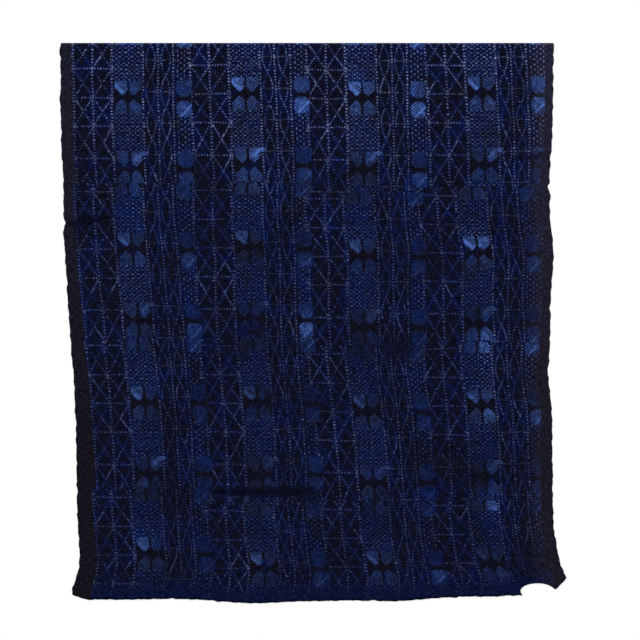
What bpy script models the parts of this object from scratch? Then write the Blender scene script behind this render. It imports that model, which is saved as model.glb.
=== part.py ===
"""Indigo mud cloth: one handwoven cotton cloth, folded over a bar that is left out.

Metres, +Z up. The printed face looks along -Y. The origin is the middle of the
line where the inside of the fold bears on the bar.
"""

import math

import bmesh
import bpy

# The cloth as it is cut and hung
THICKNESS = 0.002
BAR_RADIUS = 0.013
FRONT_DROP = 1.250
BACK_DROP = 0.400

# Places of both selvedges at each drop below the fold
SELVEDGES = (
    # drop, left edge, right edge
    (0.000, -0.550, 0.550),
    (0.130, -0.550, 0.548),
    (0.240, -0.548, 0.545),
    (0.300, -0.544, 0.540),
    (0.400, -0.543, 0.542),
    (0.475, -0.540, 0.549),
    (0.550, -0.536, 0.544),
    (0.665, -0.528, 0.541),
    (0.745, -0.521, 0.538),
    (0.825, -0.518, 0.545),
    (0.910, -0.515, 0.546),
    (1.020, -0.514, 0.547),
    (1.090, -0.511, 0.551),
    (1.125, -0.509, 0.556),
    (1.150, -0.508, 0.560),
    (1.180, -0.512, 0.570),
    (1.192, -0.516, 0.576),
    (1.232, -0.526, 0.578),
    (1.250, -0.526, 0.578),
)

# Drop of the front hem, by share of the way from the left corner to the right one
FRONT_HEM = (
    # share across, drop
    (0.000, 1.230),
    (0.040, 1.240),
    (0.160, 1.241),
    (0.280, 1.245),
    (0.380, 1.250),
    (0.520, 1.247),
    (0.570, 1.243),
    (0.690, 1.241),
    (0.800, 1.237),
    (0.900, 1.232),
    (0.950, 1.228),
    (0.976, 1.220),
    (0.990, 1.207),
    (1.000, 1.192),
)
HEM_PULL = 8.0

# Soft upright folds of the front. A reach is towards the viewer, less than 0 away from it
UPRIGHT_FOLDS = (
    # centre, half width, reach, drop where it starts
    (-0.535, 0.100, -0.006, 0.20),
    (-0.405, 0.140, 0.012, 0.10),
    (-0.255, 0.145, -0.011, 0.06),
    (-0.110, 0.145, 0.014, 0.16),
    (0.030, 0.140, -0.010, 0.24),
    (0.170, 0.140, 0.011, 0.08),
    (0.315, 0.145, -0.013, 0.14),
    (0.455, 0.130, 0.011, 0.10),
)
FOLD_GROWTH = 0.75

# Slighter upright folds of the back flap. A reach is away from the viewer
BACK_FOLDS = (
    # centre, half width, reach, drop where it starts
    (-0.380, 0.200, 0.006, 0.04),
    (-0.130, 0.180, -0.004, 0.08),
    (0.110, 0.190, 0.005, 0.05),
    (0.370, 0.200, -0.004, 0.06),
)
BACK_FOLD_GROWTH = 0.45

# Level creases of the front, left by storage. A depth is away from the viewer
LEVEL_CREASES = (
    # drop at the left end, drop at the right end, left end, right end, half width, depth
    (0.402, 0.390, -0.580, -0.400, 0.024, 0.0055),
    (0.398, 0.404, -0.430, 0.560, 0.022, 0.0018),
    (1.002, 1.000, -0.230, 0.045, 0.024, 0.0045),
    (0.262, 0.250, 0.440, 0.600, 0.020, 0.0040),
    (0.856, 0.850, -0.560, -0.440, 0.024, 0.0030),
    (0.930, 0.880, 0.220, 0.420, 0.024, 0.0022),
)
CREASE_FADE = 0.060

# Bottom corners, which turn out of the sheet
CORNERS = (
    # across, drop, size, reach towards the viewer
    (-0.526, 1.235, 0.110, -0.010),
    (0.578, 1.192, 0.120, 0.020),
)

# Arched gap in the front hem beside the right corner
GAP_CENTRE = 0.5125
GAP_DROP = 1.222
GAP_HALF_WIDTH = 0.038
GAP_HALF_HEIGHT = 0.018
GAP_SIDES = 28
GAP_CUT_FRONT = -0.08
GAP_CUT_DEPTH = 0.11

# How finely the solid is divided
COLUMNS = 38
EDGE_CROWDING = 0.35
ROW_STEP = 0.036
CLOSEST_ROWS = 0.009
FOLD_ROWS = 4
BACK_ROW_STEP = 0.054
NEAR_HEM = (0.012, 0.030)

MID_RADIUS = BAR_RADIUS + THICKNESS / 2
QUARTER_TURN = MID_RADIUS * math.pi / 2
CREST = THICKNESS / 2


def smooth_step(share):
    share = min(max(share, 0.0), 1.0)
    return share * share * (3 - 2 * share)


def read_curve(rows, at, column=1):
    """The value at a place in a table, on a smooth curve through its rows."""
    if at <= rows[0][0]:
        return rows[0][column]
    if at >= rows[-1][0]:
        return rows[-1][column]
    after = next(i for i, row in enumerate(rows) if row[0] >= at)
    low, high = rows[after - 1], rows[after]
    width = high[0] - low[0]

    def slope(i):
        before, beyond = rows[max(i - 1, 0)], rows[min(i + 1, len(rows) - 1)]
        return (beyond[column] - before[column]) / (beyond[0] - before[0])

    t = (at - low[0]) / width
    keep_low = (1 + 2 * t) * (1 - t) ** 2
    keep_high = t * t * (3 - 2 * t)
    lean_low = t * (1 - t) ** 2 * width * slope(after - 1)
    lean_high = t * t * (t - 1) * width * slope(after)
    return keep_low * low[column] + keep_high * high[column] + lean_low + lean_high


def bump(offset, half_width):
    """1 at the middle of a fold, 0 at and past its half width."""
    share = min(abs(offset) / half_width, 1.0)
    return math.cos(math.pi / 2 * share) ** 2


def fold_reach(folds, growth, x, drop):
    """How far a layer's upright folds carry it out from the other layer."""
    reach = 0.0
    for centre, half_width, most, starts in folds:
        grown = smooth_step((drop - starts) / growth)
        reach += most * grown * bump(x - centre, half_width)
    return reach


def crease_depth(x, drop):
    """How far the level creases sink the front away from the viewer."""
    depth = 0.0
    for left_drop, right_drop, left, right, half_width, most in LEVEL_CREASES:
        share = (x - left) / (right - left)
        line = left_drop + (right_drop - left_drop) * share
        ends = smooth_step((x - left) / CREASE_FADE) * smooth_step((right - x) / CREASE_FADE)
        depth += most * ends * bump(drop - line, half_width)
    return depth


def corner_reach(x, drop):
    """How far a bottom corner turns towards the viewer."""
    reach = 0.0
    for across, corner_drop, size, most in CORNERS:
        away = math.hypot(x - across, drop - corner_drop)
        reach += most * smooth_step(1 - away / size)
    return reach


def hung_point(share, run, side):
    """A point of the cloth's middle surface, run metres along it from the crest.

    side is -1 for the front and 1 for the back.
    """
    if run < QUARTER_TURN:
        turn = run / MID_RADIUS
        y = side * MID_RADIUS * math.sin(turn)
        drop = MID_RADIUS * (1 - math.cos(turn))
    else:
        y = side * MID_RADIUS
        drop = MID_RADIUS + run - QUARTER_TURN
    left = read_curve(SELVEDGES, drop, 1)
    right = read_curve(SELVEDGES, drop, 2)
    x = left + (right - left) * share
    if side > 0:
        y += fold_reach(BACK_FOLDS, BACK_FOLD_GROWTH, x, drop)
    else:
        y -= fold_reach(UPRIGHT_FOLDS, FOLD_GROWTH, x, drop) + corner_reach(x, drop)
        y += crease_depth(x, drop)
    return x, y, CREST - drop


def run_of_drop(drop):
    return drop - MID_RADIUS + QUARTER_TURN


def front_rows():
    """Drops of the front's rows: even steps, with more at the creases and the hem."""
    steps = round(FRONT_DROP / ROW_STEP)
    even = [FRONT_DROP * (i + 1) / steps for i in range(steps)]
    extra = [FRONT_DROP - near for near in NEAR_HEM]
    for left_drop, right_drop, _, _, half_width, _ in LEVEL_CREASES:
        middle = (left_drop + right_drop) / 2
        extra += [middle - half_width / 2, middle, middle + half_width / 2]
    kept = [FRONT_DROP]
    for drop in sorted(extra) + even:
        if all(abs(drop - other) > CLOSEST_ROWS for other in kept):
            kept.append(drop)
    return sorted(kept)


def cloth_rows():
    """(run, side) of every row, from the back hem over the fold to the front hem."""
    turn_runs = [QUARTER_TURN * (i + 1) / FOLD_ROWS for i in range(FOLD_ROWS)]
    back_steps = round(BACK_DROP / BACK_ROW_STEP)
    back_end = run_of_drop(BACK_DROP)
    back = [QUARTER_TURN + (back_end - QUARTER_TURN) * (i + 1) / back_steps for i in range(back_steps)]
    front = [run_of_drop(drop) for drop in front_rows()]
    rows = [(run, 1) for run in reversed(turn_runs + back)]
    rows.append((0.0, -1))
    rows += [(run, -1) for run in turn_runs + front]
    return rows


def column_shares():
    """Shares across the cloth, a little closer together at both selvedges."""
    shares = []
    for i in range(COLUMNS + 1):
        even = i / COLUMNS
        crowded = (1 - math.cos(math.pi * even)) / 2
        shares.append(even + (crowded - even) * EDGE_CROWDING)
    return shares


def cloth_sheet():
    """The middle surface of the cloth as one grid."""
    mesh = bpy.data.meshes.new("mud_cloth")
    shares = column_shares()
    front_end = run_of_drop(FRONT_DROP)
    sheet = bmesh.new()
    lines = []
    for run, side in cloth_rows():
        line = []
        for share in shares:
            reached = run
            if side < 0:
                short = FRONT_DROP - read_curve(FRONT_HEM, share)
                reached -= short * (run / front_end) ** HEM_PULL
            line.append(sheet.verts.new(hung_point(share, reached, side)))
        lines.append(line)
    for upper, lower in zip(lines, lines[1:]):
        for i in range(COLUMNS):
            sheet.faces.new((upper[i], upper[i + 1], lower[i + 1], lower[i]))
    bmesh.ops.recalc_face_normals(sheet, faces=sheet.faces)
    sheet.to_mesh(mesh)
    sheet.free()
    return mesh


def gap_cutter():
    """An upright oval prism through the front alone, for the gap in its hem."""
    sheet = bmesh.new()
    ring = []
    for i in range(GAP_SIDES):
        turn = 2 * math.pi * i / GAP_SIDES
        x = GAP_CENTRE + GAP_HALF_WIDTH * math.cos(turn)
        z = CREST - GAP_DROP + GAP_HALF_HEIGHT * math.sin(turn)
        ring.append(sheet.verts.new((x, GAP_CUT_FRONT, z)))
    face = sheet.faces.new(ring)
    pulled = bmesh.ops.extrude_face_region(sheet, geom=[face])
    moved = [item for item in pulled["geom"] if isinstance(item, bmesh.types.BMVert)]
    bmesh.ops.translate(sheet, verts=moved, vec=(0.0, GAP_CUT_DEPTH, 0.0))
    bmesh.ops.recalc_face_normals(sheet, faces=sheet.faces)
    mesh = bpy.data.meshes.new("hem_gap")
    sheet.to_mesh(mesh)
    sheet.free()
    cutter = bpy.data.objects.new("hem_gap", mesh)
    bpy.context.scene.collection.objects.link(cutter)
    cutter.hide_render = True
    cutter.display_type = "WIRE"
    return cutter


def indigo_cotton():
    material = bpy.data.materials.new("indigo_cotton")
    material.use_nodes = True
    shader = material.node_tree.nodes["Principled BSDF"]
    shader.inputs["Base Color"].default_value = (0.008, 0.011, 0.032, 1.0)
    shader.inputs["Roughness"].default_value = 0.9
    shader.inputs["Metallic"].default_value = 0.0
    return material


def mud_cloth():
    """The whole cloth: the sheet with its thickness, less the gap in the hem."""
    cloth = bpy.data.objects.new("mud_cloth", cloth_sheet())
    bpy.context.scene.collection.objects.link(cloth)
    cloth.data.materials.append(indigo_cotton())
    thicken = cloth.modifiers.new("thickness", "SOLIDIFY")
    thicken.thickness = THICKNESS
    thicken.offset = 0.0
    thicken.use_even_offset = True
    cut = cloth.modifiers.new("hem gap", "BOOLEAN")
    cut.operation = "DIFFERENCE"
    cut.object = gap_cutter()
    cloth.data.shade_smooth()
    return cloth


def main():
    for item in list(bpy.data.objects):
        bpy.data.objects.remove(item)
    mud_cloth()


main()
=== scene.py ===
"""The finish of the indigo mud cloth: its thin printed sheet, the loose threads of
its edges, a pale stage, soft light and a camera.

Metres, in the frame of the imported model: +Z up, the printed front looks along -Y,
and the origin is where the inside of the fold bears on its bar.
"""

import math

import bmesh
import bpy
import numpy as np
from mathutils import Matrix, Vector


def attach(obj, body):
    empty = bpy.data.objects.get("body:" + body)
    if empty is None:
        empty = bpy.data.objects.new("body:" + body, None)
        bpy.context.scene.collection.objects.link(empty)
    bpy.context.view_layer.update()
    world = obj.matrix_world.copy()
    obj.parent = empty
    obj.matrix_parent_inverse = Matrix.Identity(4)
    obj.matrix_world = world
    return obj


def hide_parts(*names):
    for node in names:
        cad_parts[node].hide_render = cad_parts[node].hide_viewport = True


bl_info = {
    "name": "Mud cloth",
    "version": (1, 0, 0),
    "blender": (4, 5, 0),
    "location": "View3D > Sidebar > Mud cloth",
    "description": "Dresses the packed mud cloth with its print, weave and edges",
    "category": "Object",
}

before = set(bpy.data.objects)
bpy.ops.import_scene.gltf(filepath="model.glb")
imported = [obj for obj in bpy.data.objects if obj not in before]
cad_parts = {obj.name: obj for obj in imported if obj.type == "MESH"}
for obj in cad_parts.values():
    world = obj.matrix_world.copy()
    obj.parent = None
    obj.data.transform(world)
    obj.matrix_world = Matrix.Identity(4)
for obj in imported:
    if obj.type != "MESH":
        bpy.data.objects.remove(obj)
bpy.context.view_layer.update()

# The cloth as it is cut and hung, as in the solid
FLAT_WIDTH = 1.100
SOLID_THICKNESS = 0.002
BAR_RADIUS = 0.013
FRONT_DROP = 1.250
BACK_DROP = 0.400

SELVEDGES = (
    # drop, left edge, right edge
    (0.000, -0.550, 0.550),
    (0.130, -0.550, 0.548),
    (0.240, -0.548, 0.545),
    (0.300, -0.544, 0.540),
    (0.400, -0.543, 0.542),
    (0.475, -0.540, 0.549),
    (0.550, -0.536, 0.544),
    (0.665, -0.528, 0.541),
    (0.745, -0.521, 0.538),
    (0.825, -0.518, 0.545),
    (0.910, -0.515, 0.546),
    (1.020, -0.514, 0.547),
    (1.090, -0.511, 0.551),
    (1.125, -0.509, 0.556),
    (1.150, -0.508, 0.560),
    (1.180, -0.512, 0.570),
    (1.192, -0.516, 0.576),
    (1.232, -0.526, 0.578),
    (1.250, -0.526, 0.578),
)

FRONT_HEM = (
    # share across, drop
    (0.000, 1.230),
    (0.040, 1.240),
    (0.160, 1.241),
    (0.280, 1.245),
    (0.380, 1.250),
    (0.520, 1.247),
    (0.570, 1.243),
    (0.690, 1.241),
    (0.800, 1.237),
    (0.900, 1.232),
    (0.950, 1.228),
    (0.976, 1.220),
    (0.990, 1.207),
    (1.000, 1.192),
)
HEM_PULL = 8.0

UPRIGHT_FOLDS = (
    # centre, half width, reach, drop where it starts
    (-0.535, 0.100, -0.006, 0.20),
    (-0.405, 0.140, 0.012, 0.10),
    (-0.255, 0.145, -0.011, 0.06),
    (-0.110, 0.145, 0.014, 0.16),
    (0.030, 0.140, -0.010, 0.24),
    (0.170, 0.140, 0.011, 0.08),
    (0.315, 0.145, -0.013, 0.14),
    (0.455, 0.130, 0.011, 0.10),
)
FOLD_GROWTH = 0.75

BACK_FOLDS = (
    # centre, half width, reach, drop where it starts
    (-0.380, 0.200, 0.006, 0.04),
    (-0.130, 0.180, -0.004, 0.08),
    (0.110, 0.190, 0.005, 0.05),
    (0.370, 0.200, -0.004, 0.06),
)
BACK_FOLD_GROWTH = 0.45

LEVEL_CREASES = (
    # drop at the left end, drop at the right end, left end, right end, half width, depth
    (0.402, 0.390, -0.580, -0.400, 0.024, 0.0055),
    (0.398, 0.404, -0.430, 0.560, 0.022, 0.0018),
    (1.002, 1.000, -0.230, 0.045, 0.024, 0.0045),
    (0.262, 0.250, 0.440, 0.600, 0.020, 0.0040),
    (0.856, 0.850, -0.560, -0.440, 0.024, 0.0030),
    (0.930, 0.880, 0.220, 0.420, 0.024, 0.0022),
)
CREASE_FADE = 0.060

CORNERS = (
    # across, drop, size, reach towards the viewer
    (-0.526, 1.235, 0.110, -0.010),
    (0.578, 1.192, 0.120, 0.020),
)

GAP_CENTRE = 0.5125
GAP_DROP = 1.222
GAP_HALF_WIDTH = 0.038
GAP_HALF_HEIGHT = 0.018
# How far from the gap's rim, as a share of its half size, points may be moved onto it
GAP_REACH = 0.6
# How far out, as a share of its half size, an open edge belongs to the gap
GAP_RIM = 1.15

MID_RADIUS = BAR_RADIUS + SOLID_THICKNESS / 2
QUARTER_TURN = MID_RADIUS * math.pi / 2
CREST = SOLID_THICKNESS / 2

# Finer than the solid: creases pressed in where the cloth was stored
PRESSED_CREASES = (
    # left, drop there, right, drop there, half width, depth, darkening: painted shade in the crease, and a
    # painted highlight along its ridge where below 0
    (-0.560, 0.406, -0.420, 0.389, 0.013, 0.0019, 0.90),
    (-0.500, 0.386, -0.420, 0.374, 0.005, -0.0008, -0.40),
    (-0.430, 0.392, 0.000, 0.398, 0.007, 0.0004, 0.22),
    (0.050, 0.402, 0.552, 0.400, 0.007, 0.0005, 0.28),
    (-0.235, 1.005, 0.030, 1.001, 0.015, 0.0016, 0.75),
    (-0.225, 0.984, 0.010, 0.983, 0.006, -0.0009, -0.45),
    (0.440, 0.262, 0.560, 0.249, 0.011, 0.0014, 0.70),
    (0.430, 0.249, 0.560, 0.236, 0.005, -0.0008, -0.45),
    (-0.540, 0.852, -0.450, 0.848, 0.009, 0.0010, 0.45),
    (-0.540, 0.998, -0.470, 1.004, 0.008, 0.0008, 0.35),
    (0.225, 0.930, 0.415, 0.884, 0.009, 0.0008, 0.35),
    (0.330, 0.800, 0.545, 0.792, 0.006, 0.0005, 0.25),
    (-0.300, 0.585, -0.060, 0.590, 0.006, 0.0004, 0.22),
    (0.455, 1.130, 0.560, 1.150, 0.010, 0.0012, 0.30),
)
CREASE_END = 0.030
PRESSED_DEPTH, PRESSED_SHADE_AND_HIGHLIGHT = 5, 6

# Slight unevenness of the whole sheet
RIPPLES = (
    # length across, length down, phase, height
    (0.097, 0.610, 0.4, 0.0009),
    (0.061, -0.930, 2.1, 0.0005),
    (0.310, 0.170, 4.0, 0.0007),
    (-0.230, 0.083, 1.2, 0.0004),
)
RIPPLES_FROM = 0.15

# Bumps and nicks of the two selvedges, outwards if above 0
EDGE_NICKS = (
    # side, drop, half length, reach
    (-1, 0.020, 0.020, 0.0020),
    (-1, 0.084, 0.018, -0.0012),
    (-1, 0.130, 0.022, 0.0022),
    (-1, 0.196, 0.015, -0.0015),
    (-1, 0.402, 0.010, -0.0035),
    (-1, 0.432, 0.016, 0.0025),
    (-1, 0.530, 0.018, -0.0020),
    (-1, 0.700, 0.022, 0.0016),
    (-1, 0.850, 0.012, -0.0024),
    (-1, 0.998, 0.012, -0.0020),
    (-1, 1.215, 0.014, 0.0022),
    (1, 0.060, 0.016, -0.0015),
    (1, 0.254, 0.012, -0.0022),
    (1, 0.322, 0.008, -0.0040),
    (1, 0.344, 0.010, 0.0030),
    (1, 0.430, 0.018, 0.0018),
    (1, 0.590, 0.014, -0.0020),
    (1, 0.735, 0.018, -0.0022),
    (1, 0.962, 0.016, 0.0018),
    (1, 1.080, 0.012, -0.0020),
)
EDGE_WAVES = (
    # length, phase, reach
    (0.0210, 0.3, 0.0004),
    (0.0137, 1.9, 0.0003),
    (0.0334, 4.1, 0.0007),
)
EDGE_LEAN = 2.0
EDGE_BAND = 0.030
# The back's selvedges stray as the front's do this much lower down
BACK_EDGE_FROM = 0.7

# Places where the front hem steps up or down by a few threads
HEM_STEPS = (
    # share across, half length, drop
    (0.020, 0.050, 0.0050),
    (0.205, 0.008, -0.0022),
    (0.296, 0.010, 0.0020),
    (0.430, 0.110, -0.0024),
    (0.660, 0.150, 0.0030),
    (0.610, 0.012, -0.0020),
    (0.777, 0.008, 0.0022),
    (0.880, 0.012, -0.0018),
    (0.985, 0.022, -0.0040),
)

HEM_WAVES = (
    # length as a share of the width, reach
    (0.0171, 0.0004),
    (0.0293, 0.0004),
)

# How strongly the print shows, by drop: weaker lower down, partly the print's own fading and partly painted
# shade where the light falls off downwards
PRINT_FADE_AND_FALLOFF = (
    # drop, strength
    (-0.400, 0.80),
    (0.000, 1.00),
    (0.060, 0.85),
    (0.200, 0.64),
    (0.300, 0.46),
    (0.420, 0.36),
    (0.800, 0.33),
    (1.000, 0.28),
    (1.150, 0.25),
    (1.250, 0.25),
)

# Patches where the print came out stronger or weaker
DYE_PATCHES = (
    # across, drop, half width, half height, change
    (-0.387, 0.351, 0.036, 0.106, 0.35),
    (-0.387, 0.541, 0.036, 0.134, 0.75),
    (-0.374, 0.765, 0.034, 0.126, 0.50),
    (-0.128, 0.273, 0.048, 0.095, 0.75),
    (-0.150, 0.116, 0.039, 0.045, 0.30),
    (-0.021, 0.127, 0.034, 0.056, 0.35),
    (0.107, 0.116, 0.050, 0.056, 0.35),
    (0.084, 0.195, 0.061, 0.073, 0.30),
    (0.241, 0.139, 0.034, 0.067, 0.45),
    (-0.278, 0.154, 0.034, 0.039, 0.25),
    (-0.005, 0.628, 0.036, 0.039, 0.85),
    (0.382, 0.436, 0.039, 0.056, 0.95),
    (0.397, 0.686, 0.045, 0.067, 1.20),
    (0.397, 0.809, 0.045, 0.073, 1.20),
    (0.415, 1.035, 0.036, 0.048, 0.90),
    (0.386, 0.038, 0.056, 0.045, 0.30),
    (0.487, 0.686, 0.034, 0.045, 0.40),
    (0.498, 0.832, 0.039, 0.056, 0.25),
    (0.507, 0.977, 0.034, 0.056, 0.30),
    (-0.110, 1.142, 0.073, 0.050, 0.55),
    (-0.083, 1.058, 0.112, 0.042, 0.35),
    (-0.363, 1.111, 0.039, 0.050, 0.50),
    (0.163, 1.156, 0.061, 0.061, 0.45),
    (0.292, 1.185, 0.034, 0.028, 0.30),
    (0.113, 0.982, 0.084, 0.050, 0.30),
    (0.107, 0.888, 0.095, 0.056, 0.25),
    (-0.441, 0.731, 0.050, 0.045, 0.25),
    (0.129, 0.452, 0.045, 0.084, 0.20),
    (-0.184, 0.675, 0.078, 0.045, -0.40),
    (-0.050, 0.677, 0.061, 0.034, -0.35),
    (0.096, 0.686, 0.073, 0.039, -0.35),
    (0.203, 0.682, 0.050, 0.040, -0.85),
    (0.174, 0.765, 0.061, 0.056, -0.30),
    (-0.191, 0.832, 0.073, 0.039, -0.40),
    (-0.043, 0.803, 0.095, 0.045, -0.35),
    (0.055, 0.803, 0.056, 0.050, -0.25),
    (-0.061, 0.440, 0.045, 0.050, -0.40),
    (-0.220, 0.329, 0.056, 0.050, -0.40),
    (-0.211, 0.440, 0.073, 0.039, -0.30),
    (-0.519, 0.423, 0.045, 0.039, -0.40),
    (-0.497, 0.257, 0.067, 0.034, -0.30),
    (0.286, 0.496, 0.073, 0.050, -0.35),
    (0.196, 0.503, 0.050, 0.039, -0.25),
    (0.330, 0.955, 0.073, 0.067, -0.40),
    (0.006, 1.004, 0.073, 0.039, -0.30),
    (0.046, 1.066, 0.039, 0.061, -0.25),
    (0.458, 0.127, 0.050, 0.073, -0.40),
    (0.286, 0.094, 0.056, 0.045, -0.30),
    (0.308, 0.262, 0.078, 0.050, -0.30),
    (0.174, 0.306, 0.061, 0.045, -0.25),
    (-0.486, 0.843, 0.073, 0.039, -0.30),
    (0.487, 1.167, 0.050, 0.045, -0.45),
    (-0.481, 1.122, 0.039, 0.061, -0.35),
    (-0.334, 0.608, 0.050, 0.039, -0.25),
    (0.308, 0.608, 0.073, 0.028, -0.30),
    (0.453, 0.608, 0.045, 0.034, -0.25),
    (0.062, 0.351, 0.067, 0.067, -0.25),
    (-0.340, 0.092, 0.073, 0.028, -0.25),
    (-0.117, 0.592, 0.061, 0.039, -0.20),
)

# The printing block as set down by hand, sixteen times: how far off an even grid, in mm.
# p is the place across one block from its first upright, and q the place down from its origin
STAMPS = (
    # column, row, across at its top, across at its foot, down
    (0, 0, -3, 1, 3),
    (1, 0, -8, 5, -5),
    (2, 0, -11, 1, 5),
    (3, 0, -11, 11, -5),
    (0, 1, -11, 4, -4),
    (1, 1, -2, -1, -7),
    (2, 1, -10, -4, 12),
    (3, 1, -17, -2, 4),
    (0, 2, -5, 10, -6),
    (1, 2, -5, 8, -6),
    (2, 2, -19, 5, 13),
    (3, 2, -12, 3, 1),
    (0, 3, -4, 6, -14),
    (1, 3, -7, 3, 17),
    (2, 3, -2, 8, 15),
    (3, 3, -9, 2, 7),
)
STAMP_HEIGHT = 345.0
STAMP_WIDTH = 261.2
TOP_ROW_WIDER = 2.5
STAMP_TOP = 17.0
FIRST_UPRIGHT = 30.0
ROW_STEP = 4.5
JOINT_ACROSS = 5.0
LAST_SQUARES_P = 248.0
LAST_SQUARES_Q = (-26.0, 130.5, 288.0)
# How far round their middle those squares reach: to the left, to the right and down
LAST_SQUARES_REACH = (22.0, 18.0, 40.0)
COLUMNS, ROWS = 4, 4

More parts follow.
